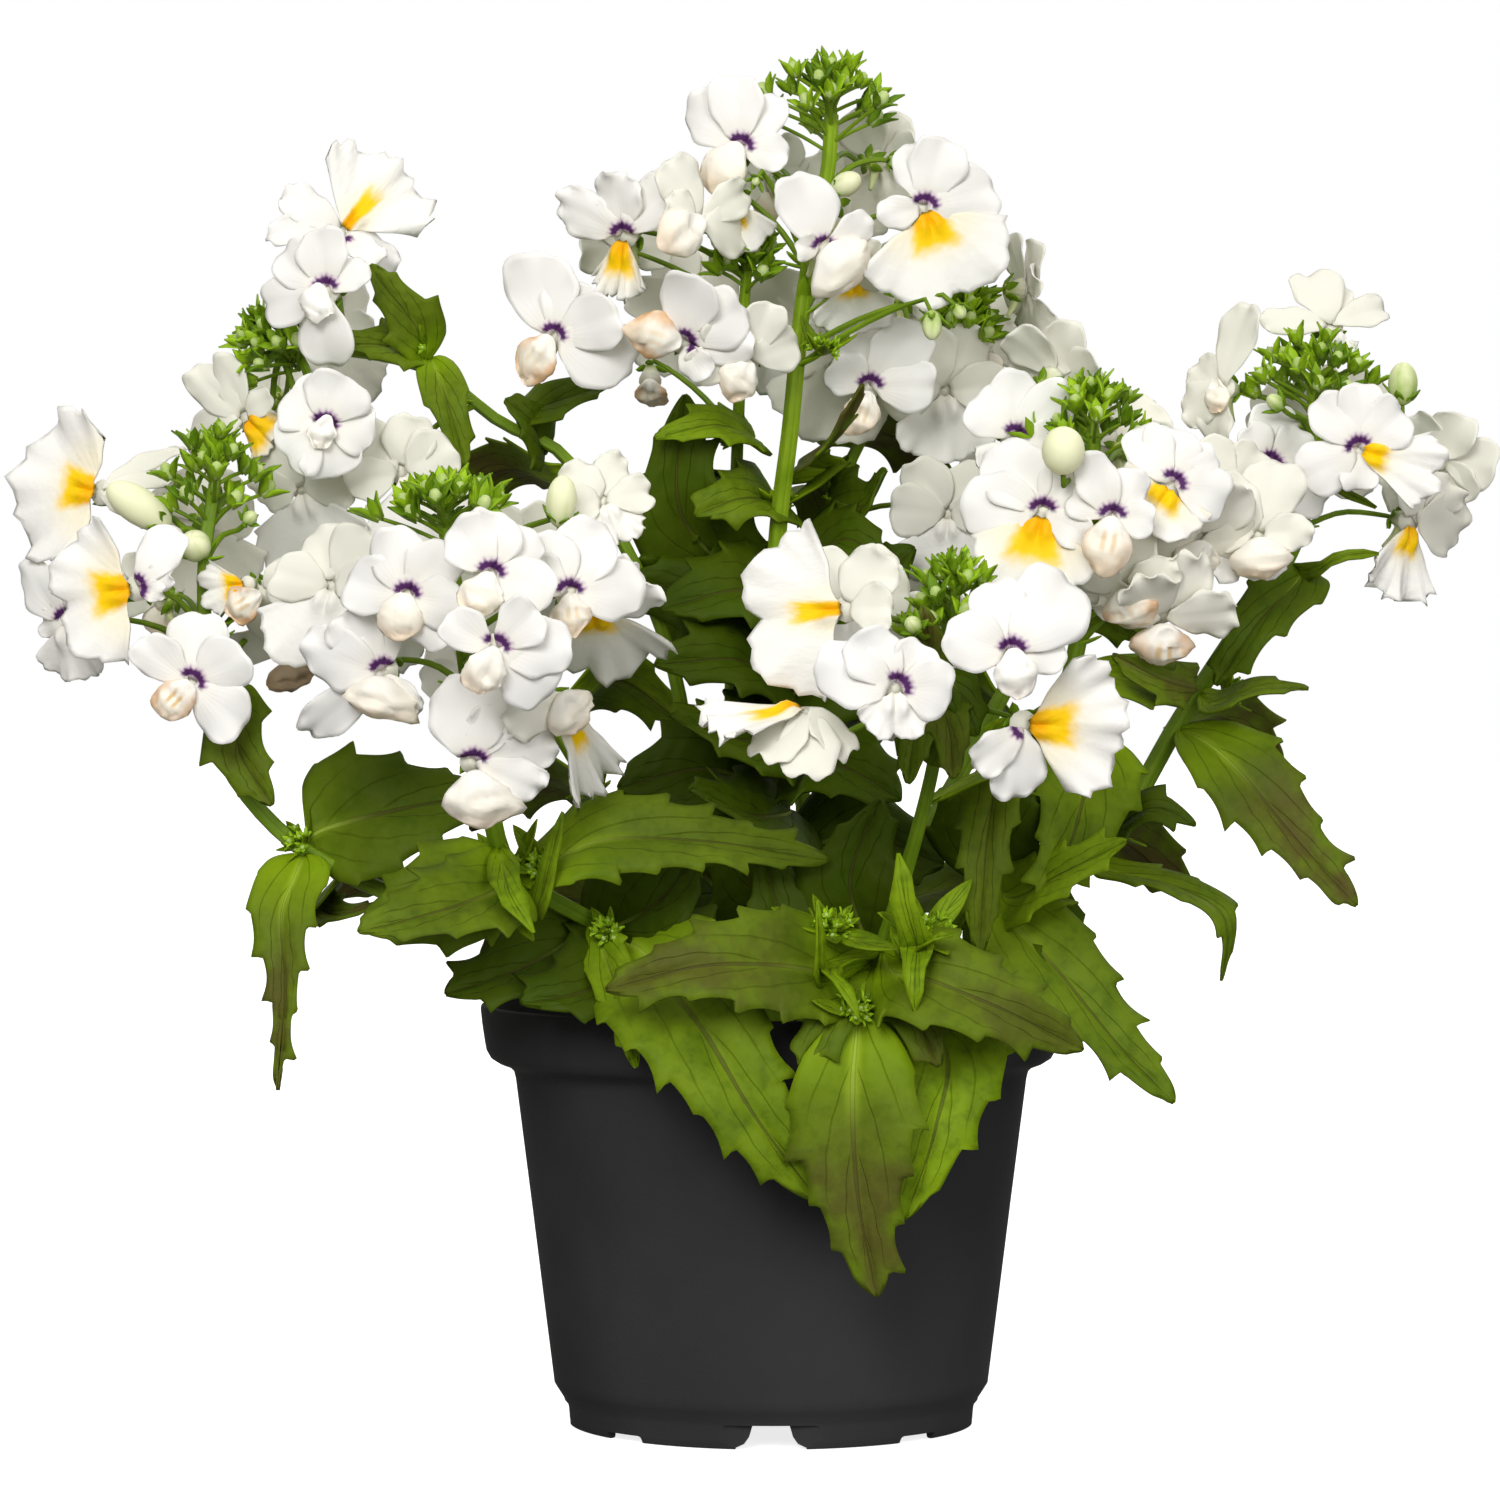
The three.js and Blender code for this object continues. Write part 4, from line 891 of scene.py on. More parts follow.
# %% The smaller and the hidden flowers
MORE_BLOOMS = [
    ("crown", [22.7, 262.9, 15], "open", 0.9, [150, 10, 0]),
    ("crown", [17.5, 237.5, -22], "open", 0.7, [20, -30, 5], {"plain": True, "fade": 3}),
    ("crown", [12.3, 253.5, 20], "pouch", 0.95, [190, 5, 0]),
    ("crown", [-0.2, 257.7, 8], "pouch", 0.9, [225, 0, 0]),
    ("upper_mid", [-14.6, 250.4, -26], "pouch", 1, [30, 0, 0],
     {"lobes": [(-100, 12, 11), (-60, 13, 8), (28, 13.5, 10.5), (70, 8, 8)], "plain": True,
      "pouch": (10.5, 10.5, 6.4), "lip": -60, "age": -0.3, "frill": 1}),
    ("upper_mid", [-4.4, 221.2, -34], "pouch", 1, [10, -20, 10],
     {"lobes": [(-80, 10, 10), (-25, 12, 9), (35, 12, 9), (88, 13, 8)], "plain": True,
      "pouch": (9, 8, 5), "lip": -40}),
    ("upper_mid", [-25.2, 216, 4], "pouch", 0.9, [0, -40, 0],
     {"lobes": [], "pouch": (8, 7, 2), "age": 1.0}),
    ("upper_mid", [6, 228.5, 9], "open", 1, [-5, -20, 5], {"plain": True, "fade": 9}),
    ("upper_mid", [-16.9, 233.8, 26], "open", 1, [170, 0, 0]),
    ("upper_mid", [-31.5, 244.2, 12], "pouch", 0.9, [210, 10, 0]),
    ("upper_right", [53.5, 236.2, 4], "open", 0.85, [110, 5, 0]),
    ("upper_right", [14.5, 222, 3], "open", 1.05, [-160, 0, 20]),
    ("upper_right", [36.2, 214.8, 2], "open", 1.1, [10, -10, 0], {"plain": True, "fade": 9, "long": 14}),
    ("crown", [-7, 254, -20], "open", 0.8, [0, -20, 10],
     {"lobes": [], "long": 13, "opening": 58, "narrow": 2, "fade": 1.5}),
    ("upper_right", [36.5, 189, 0], "open", 0.9, [-10, -10, 0], {"fade": 9, "plain": True}),
    ("upper_right", [26.9, 233.8, 30], "open", 1, [180, 0, 0]),
    ("upper_right", [44.6, 224.4, 26], "pouch", 0.9, [155, 0, 0]),
    ("upper_left", [-93, 207.5, -42], "pouch", 1, [10, 5, -20],
     {"lobes": [(0, 10, 14), (66, 9.5, 13), (-66, 9.5, 13), (142, 9.5, 13), (-142, 9.5, 13)],
      "pouch": (6, 5.5, 1.8), "lip": 0, "age": -0.7}),
    ("upper_left", [-76.9, 197.9, -30], "open", 1, [10, -10, 20], {"plain": True, "fade": 9}),
    ("upper_left", [-98.1, 194.1, -26], "open", 1, [-15, -20, 0],
     {"fade": 9, "plain": True, "frill": 0.8}),
    ("upper_left", [-91.9, 227.5, 14], "open", 0.95, [160, 10, 0]),
    ("upper_left", [-104.4, 212.9, 10], "pouch", 0.95, [205, 0, 0]),
    ("far_left", [-106.3, 172.5, -56], "pouch", 1, [-10, -5, -60],
     {"lobes": [(-20, 10.5, 9), (10, 8, 7)], "pouch": (8, 7, 4.2), "age": 0.8, "plain": True}),
    ("far_left", [-109.6, 174.6, -57], "open", 0.6, [-25, -5, -80],
     {"lobes": [], "long": 17, "opening": 40}),
    ("far_left", [-101, 161.5, -34], "pouch", 1, [30, -40, 15],
     {"age": 2.0, "pouch": (11, 7, 7.5), "plain": True}),
    ("far_left", [-117.9, 187.9, -22], "open", 0.95, [180, 0, 0]),
    ("far_left", [-127.3, 171.2, -24], "pouch", 0.9, [215, -5, 0]),
    ("left_centre", [-92, 174.5, -68], "open", 1, [-15, 5, -10], {"plain": True, "fade": 9}),
    ("left_centre", [-80.8, 156.2, -82], "pouch", 1, [-10, -15, 0],
     {"lobes": [(-140, 10, 6), (0, 10, 8), (36, 13.5, 11), (76, 16, 13), (127, 22, 8.5)],
      "pouch": (15, 7.5, 5.4), "lip": -10, "corner": 60, "frill": 1.2}),
    ("left_centre", [-37, 169.5, -74], "open", 1.05, [5, -52, 12],
     {"frill": 1, "fade": 1, "narrow": 1.0, "long": 20}),
    ("left_centre", [-34.6, 192.1, -58], "open", 0.8, [15, 10, 10],
     {"fade": 9, "long": 12, "frill": 1.4, "plain": True}),
    ("left_centre", [-52.3, 179.6, -42], "open", 0.95, [180, 0, 0]),
    ("left_centre", [-71, 171.2, -44], "pouch", 0.95, [205, 0, 0]),
    ("right_front", [16.5, 171, -68], "open", 0.95, [-15, 0, 0], {"plain": True, "fade": 9}),
    ("right_front", [7.4, 149.4, -94], "open", 1, [0, 66, -74],
     {"lobes": [(-60, 10, 9), (-105, 13, 12), (-150, 13, 12)], "tilt": -25, "long": 21,
      "opening": 30, "fade": -4, "lift": 0.1, "plain": True, "frill": 0.8, "narrow": 1.8}),
    ("right_front", [33.1, 160.8, -56], "pouch", 0.9, [170, 0, 0]),
    ("right_centre", [51, 205.2, -34], "open", 1, [15, 10, -20],
     {"lobes": [(-80, 8, 8), (-30, 14, 11), (18, 13, 12), (64, 11, 12)], "fade": 9, "long": 11}),
    ("right_centre", [59.2, 218.1, -8], "open", 0.95, [150, 25, 0]),
    ("right_centre", [71, 188.4, -56], "pouch", 1, [0, 0, -4],
     {"lobes": [(-85, 8, 8), (-20, 10, 9), (25, 13, 9), (60, 9, 8)],
      "pouch": (11, 10.5, 6.2), "age": 0.4}),
    ("right_centre", [73.5, 173, -44], "pouch", 0.95, [-20, -30, 10],
     {"age": 1.0, "plain": True, "frill": 1, "pouch": (13, 8, 4)}),
    ("right_centre", [60.8, 205, -60], "bud", 1, [0, 80, 0], {"bud": (8.4, 9.6, 1.1)}),
    ("far_right", [131.5, 219, -6], "bud", 1, [10, 85, 0], {"bud": (6, 9, 0.15)}),
    ("crown", [33.5, 226, -36], "bud", 0.8, [0, -70, 0], {"bud": (5, 8, 0.1)}),
    ("crown", [40.5, 229, -30], "bud", 0.7, [40, -50, 0], {"bud": (4, 5, 0)}),
    ("left_centre", [-43.5, 194, -66], "bud", 1, [20, 75, -30], {"bud": (6, 10.5, 0.7)}),
    ("crown", [17, 258.4, -12], "bud", 0.7, [60, 20, 0], {"bud": (7, 10, 0.7)}),
    ("crown", [-4, 256.5, -28], "bud", 0.6, [-20, -40, 0], {"bud": (3, 3, 0)}),
    ("crown", [28, 262, -8], "bud", 0.7, [50, -10, 0], {"bud": (4, 6, 0)}),
    ("upper_mid", [-22, 234, -30], "bud", 0.6, [-30, -30, 0], {"bud": (3, 4, 0)}),
    ("right_centre", [63, 200, -50], "bud", 0.7, [-40, 30, 0], {"bud": (3, 4, 0)}),
    ("right_front", [28, 168, -96], "bud", 0.8, [-30, 30, 0], {"bud": (4, 5, 0)}),
    ("far_right", [103, 214, -12], "bud", 0.8, [-50, 30, 0], {"bud": (4, 6, 0)}),
    ("far_left", [-107, 190, -56], "bud", 0.7, [40, 30, 0], {"bud": (4, 5, 0)}),
    ("upper_left", [-93, 214, -40], "bud", 0.8, [10, 30, 0], {"bud": (5, 6, 0.1)}),
    ("far_left", [-121, 184.6, -54], "bud", 1, [-10, 30, 0], {"bud": (6.4, 6.4, 0.35)}),
    ("far_left", [-132, 191, -48], "bud", 1, [-72, 32, 0], {"bud": (7.4, 15, 0.9)}),
    ("right_centre", [96.7, 192.8, -28], "open", 1, [25, 5, 0], {"fade": 9, "plain": True}),
    ("right_centre", [89.4, 183.7, -36], "pouch", 1, [20, -35, 0],
     {"plain": True, "pouch": (11, 7, 4), "age": 0.2}),
    ("right_centre", [72.7, 202.5, 2], "open", 0.95, [175, 0, 0]),
    ("right_centre", [85.2, 187.9, -4], "pouch", 0.9, [195, 0, 0]),
    ("far_right", [93.3, 215.6, -4], "pouch", 1, [-35, 5, 0],
     {"lobes": [(-20, 18, 9), (60, 9, 9), (120, 10, 10), (170, 11, 8)], "plain": True,
      "pouch": (6, 6, 2.5), "frill": 1}),
    ("far_right", [104, 199.6, -8], "open", 1, [20, 5, -20],
     {"lobes": [(-100, 14, 12), (-40, 10, 10), (12, 12.5, 11), (60, 9, 9)],
      "fade": 8, "long": 12}),
    ("far_right", [101.5, 184.8, -34], "pouch", 1, [0, -5, 0],
     {"lobes": [(-84, 10, 8), (-15, 15, 13), (40, 14, 12), (84, 10, 8)], "pouch": (14, 7, 5),
      "plain": True, "age": 0.12, "frill": 0.8}),
    ("far_right", [118.5, 208.8, 28], "open", 0.95, [170, 0, 0]),
    ("far_right", [108.1, 206.7, 24], "pouch", 0.9, [200, 0, 0]),
    ("back_left", [-69, 183.8, 92], "open", 1, [215, 0, 0]),
    ("back_left", [-52.3, 167.1, 100], "open", 0.95, [165, -10, 0]),
    ("back_left", [-62.7, 154.6, 92], "pouch", 0.95, [190, -15, 0]),
    ("back_left", [-77.3, 171.2, 76], "open", 0.9, [240, 0, 0]),
    ("back_left", [-44, 179.6, 70], "pouch", 0.9, [150, 10, 0]),
    ("back_right", [60.2, 206.7, 94], "open", 1, [180, 10, 0]),
    ("back_right", [79, 187.9, 84], "open", 0.95, [130, 0, 0]),
    ("back_right", [56, 183.8, 100], "pouch", 0.95, [185, -5, 0]),
    ("back_right", [74.8, 204.6, 72], "pouch", 0.9, [140, 10, 0]),
    ("back_right", [45.6, 192.1, 78], "open", 0.9, [215, 0, 0]),
    ("back_mid", [8.1, 167.1, 108], "pouch", 0.95, [195, 0, 0]),
    ("back_mid", [31, 162.9, 104], "open", 0.95, [160, -5, 0]),
    ("back_mid", [18.5, 146.2, 108], "pouch", 0.9, [175, -15, 0]),
    ("back_mid", [4, 152.5, 96], "open", 0.9, [215, -5, 0]),
    ("back_mid", [26.9, 173.3, 82], "pouch", 0.85, [150, 15, 0]),
]
print(sum(map(len, BLOOMS.values())), "large flowers and", len(MORE_BLOOMS), "more")

# %% [markdown]
# ## Stalks
# A flower's stalk is thin and leaves the stem upwards. It reaches the flower from behind, where
# a small green leaf, the bract, marks its root. So we find the nearest point of the stem a
# little below the flower, and lead the stalk from there to the flower's back.

# %% Turning a flower and finding its stalk
FLOWER_BACK = 6.4


def flower_frame(place, turns):
    """The throat, and the three directions that the flower's own right, up and front take."""
    yaw, pitch, roll = map(math.radians, turns)
    face = np.array([math.sin(yaw) * math.cos(pitch), -math.cos(yaw) * math.cos(pitch),
                     math.sin(pitch)])
    right = np.array(Matrix.Rotation(roll, 3, Vector(face)) @ Vector((math.cos(yaw), math.sin(yaw), 0)))
    return on_sight_line(place), np.array([right, np.cross(face, right), face])


def nearest(line, target):
    return line[np.argmin(np.linalg.norm(line - target, axis=1))]


def stalk_route(stem, place, size, turns):
    throat, ways = flower_frame(place, turns)
    back = throat - ways[2] * FLOWER_BACK * size
    lead = back - ways[2] * 3
    root = nearest(stem_line(stem)[4:], throat - [0, 0, 9])
    return [root, (root + lead) / 2 + [0, 0, 2], lead, back]


def small_leaf(root, tip, width, facing, tone, blank, look, bend):
    """A narrow leaf from root to tip, arched by bend of its length."""
    root, tip = np.array(root, float), np.array(tip, float)
    run = tip - root
    facing = unit(np.array(facing, float))
    side = unit(np.cross(facing, unit(run)))
    up = np.cross(unit(run), side)

    def surface(s, t):
        along = (t + 1) / 2
        half = width / 2 * (np.sin(np.pi * np.clip(along, 0, 1) ** 0.8) ** 0.8 + 0.12 * (1 - along))
        rise = bend * math.dist(root, tip) * np.sin(np.pi * along / 2 * 1.3)
        spot = root + run * along[:, None] + side * (s * half)[:, None]
        spot = spot + up * (rise + np.abs(s) * half * 0.3)[:, None]
        return np.concatenate([spot, np.stack([s, along, np.full_like(s, tone)], axis=1)], axis=1)

    return (*sheet(blank, surface, 0.35), look)


place, _, size, turns, _ = BLOOMS["crown"][1]
root, *_, back = stalk_route("crown", place, size, turns)
print("the stalk of the crown's second flower is", round(math.dist(root, back)), "mm long")

# %% [markdown]
# ## Buds
# A spike of buds looks like a heap of little green stars, because each bud sits in five narrow
# sepals. The youngest buds at the top are all sepals. The oldest, lower down and further out,
# show a pale yellow-green ball. The buds follow a spiral up the stem's tip.

# %% A bud
GOLDEN_TURN = 2.4
SEPAL_COUNT = 5
SPIKE_LEAVES = 16


def bud_parts(place, way, size, ripe, tone, dice):
    way = unit(np.array(way, float))
    side = unit(np.cross(way, [0.2, 0.9, 0.3]))
    back = np.cross(way, side)
    ball = BUD_BALL[0] * [0.6 * size, 0.6 * size, 0.85 * size]
    spots = place + ball @ np.array([side, back, way]) + way * 0.6 * size
    marks = BUD_BALL[0] * 1.0
    marks[:, 2] = ripe
    parts = [(spots, BUD_BALL[1], marks, bud_look)]
    for k in range(SEPAL_COUNT):
        out = spoke(side, back, k * 2 * math.pi / SEPAL_COUNT + dice.uniform(-0.25, 0.25))
        root = place + out * 0.35 * size - way * 0.2 * size
        tip = place + out * size * dice.uniform(1.1, 2.1) + way * size * dice.uniform(0.8, 2.1)
        parts.append(small_leaf(root, tip, 0.9 * size, way - out * 0.3, tone, SEPAL, sepal_look, 0.14))
    return parts


def bud_spike(name):
    line = stem_line(name)
    radius, height = STEMS[name][2]
    axis = unit(unit(line[-1] - line[-6]) * 0.5 + np.array([0, 0, 0.5]))
    side = unit(np.cross(axis, [0.1, 1, 0.2]))
    back = np.cross(axis, side)
    tip = line[-1] + axis * height * 0.35
    dice = random.Random(name + " buds")
    parts = [(*tube(STALK_TUBE, [line[-1] - axis, line[-1] + axis * height * 0.2, tip], (1.5, 0.7),
                    0.1, 0.4), stem_look)]
    count = int(13 + radius * 0.8)
    for k in range(count):
        up = k / (count - 1)
        out = spoke(side, back, k * GOLDEN_TURN + dice.uniform(-0.3, 0.3))
        wide = radius * (0.98 - 0.75 * up ** 1.6) * dice.uniform(0.6, 1.1)
        seat = tip + axis * height * ((up - 1) * 0.75 + dice.uniform(-0.06, 0.06))
        place = seat + out * wide + axis * (1.5 + wide * 0.35)
        parts.append((*tube(STALK_TUBE, [seat, (seat + place) / 2 + axis * 0.3, place], 0.42, 0, 0.6),
                      stem_look))
        parts += bud_parts(place, out * (0.9 - 0.7 * up) + axis, 2.5 - 0.4 * up, 0.2 - up * 0.2,
                           dice.uniform(0.1, 1.0), dice)
    for k in range(SPIKE_LEAVES):
        out = spoke(side, back, k * GOLDEN_TURN + 1)
        root = tip - axis * 2 * dice.uniform(0.5, 1.5)
        parts.append(small_leaf(root, root + out * dice.uniform(2, 6) + axis * dice.uniform(3, 7.5),
                                2.5, out * 0.4 + axis, dice.uniform(0.3, 0.9), SEPAL, sepal_look, 0.1))
    return parts


print("a spike of the crown stem has", len(bud_spike("crown")), "parts")

# %% Stems with their stalks and buds
for name in STEMS:
    dice = random.Random(name)
    line = stem_line(name)
    tone = 0.9 if name in ("crown", "upper_mid") else 0.55
    thin = 0.75 if name.startswith("upper") or name == "right_front" else 1.0
    parts = [(*tube(STEM_TUBE, line, (STEM_RADIUS * 1.1 * thin, STEM_RADIUS * 0.72 * thin), 0.1, tone),
              stem_look)]
    rows = BLOOMS[name] + [row for stem, *row in MORE_BLOOMS if stem == name]
    for place, _, size, turns, *_ in rows:
        route = stalk_route(name, place, size, turns)
        parts.append((*tube(STALK_TUBE, route, (0.75, 0.5), 0, 0.5), stem_look))
        root = route[0]
        out = unit((route[1] - root) * [1, 1, 0.2])
        tip = root + out * dice.uniform(4, 7) + [0, 0, dice.uniform(-1, 4)]
        parts.append(small_leaf(root, tip, dice.uniform(1.8, 3), [0, 0, 1], 0.6, SMALL_LEAF,
                                sepal_look, -0.1))
    parts += bud_spike(name)
    if name == "right_front":
        shoot = [on_sight_line(p) for p in SIDE_SHOOT]
        parts.append((*tube(STALK_TUBE, shoot, (1.5, 1.2), 0.1, 0.8), stem_look))
    piece = make_piece(f"{name}_stem_and_buds", parts, "stem_green", f"{name}_stem")
    print(piece.name, faces_of(piece), "triangles")

# %% [markdown]
# ## The leaves
# A nemesia leaf is long, pointed and toothed, folded a little along its middle rib, with three
# or four sunken veins a side that arch towards the tip. Each row gives the leaf's stem, the
# places that its middle rib passes, its width, the way that its upper side looks, and how
# bright it is: 0 is deep in the plant's shade, 1 is young and yellow-green.

# %% The largest leaves
LEAVES = {
    "front_leaf_over_rim": (
        "right_front", [[18, 83, -69], [17, 70, -72], [18, 48, -72], [22, 26, -69]],
        25, [0, -1, 0.15], 0.45),
    "front_leaf_left": (
        "right_front", [[16, 93, -60], [2, 95, -72], [-14, 95, -78], [-34.5, 90, -76]],
        23, [0, -0.9, 0.35], 0.46),
    "front_leaf_right": (
        "right_front", [[25, 94, -60], [33, 92, -74], [48, 86, -76], [65, 77.5, -68]],
        22, [0.1, -0.9, 0.35], 0.47),
    "left_front_leaf_over_rim": (
        "left_centre", [[-27, 98, -46], [-22, 91, -60], [-14.5, 82, -68], [-3, 63, -72], [10, 46, -68]],
        30, [0.1, -1, 0.35], 0.7),
    "centre_leaf": (
        "left_centre", [[-50, 115, -58], [-36, 121, -62], [-14, 121, -62], [12, 117, -56]],
        18, [0, -0.75, 0.65], 0.5),
    "left_leaf": (
        "left_centre", [[-56, 112, -62], [-64, 108, -72], [-74, 105, -78], [-86, 102, -80]],
        22, [0, -0.85, 0.5], 0.5),
    "left_drooping_leaf": (
        "far_left", [[-99, 114, -54], [-102, 106, -60], [-101.5, 90, -64], [-103, 69, -64]],
        15, [-0.2, -1, 0.2], 0.45),
    "right_drooping_leaf": (
        "right_centre", [[48.6, 106, -34], [59.5, 94.3, -42], [71.7, 79.3, -46], [84, 66.4, -48]],
        21, [0.3, -0.9, 0.5], 0.6),
    "right_curled_leaf": (
        "far_right", [[70, 115, -10], [84.3, 111.6, -16], [94.4, 105.2, -18], [94, 92, -16]],
        11, [0.2, -0.7, 0.8], 0.6),
    "right_serrated_leaf": (
        "far_right", [[90, 142, -8], [97, 136, -14], [108, 123, -18], [122, 107.5, -20]],
        18, [0.1, -0.95, 0.4], 0.38),
    "upper_left_leaf": (
        "upper_left", [[-72, 224, -18], [-76, 231, -23], [-80, 236, -25], [-83.5, 241, -26]],
        12, [0.3, -1, 0.2], 0.5),
    "back_leaf_over_rim": (
        "back_mid", [[2, 103, 58], [-4, 104, 68], [-14, 92, 80], [-28, 62, 84]],
        26, [-0.1, 1, 0.3], 0.5),
}

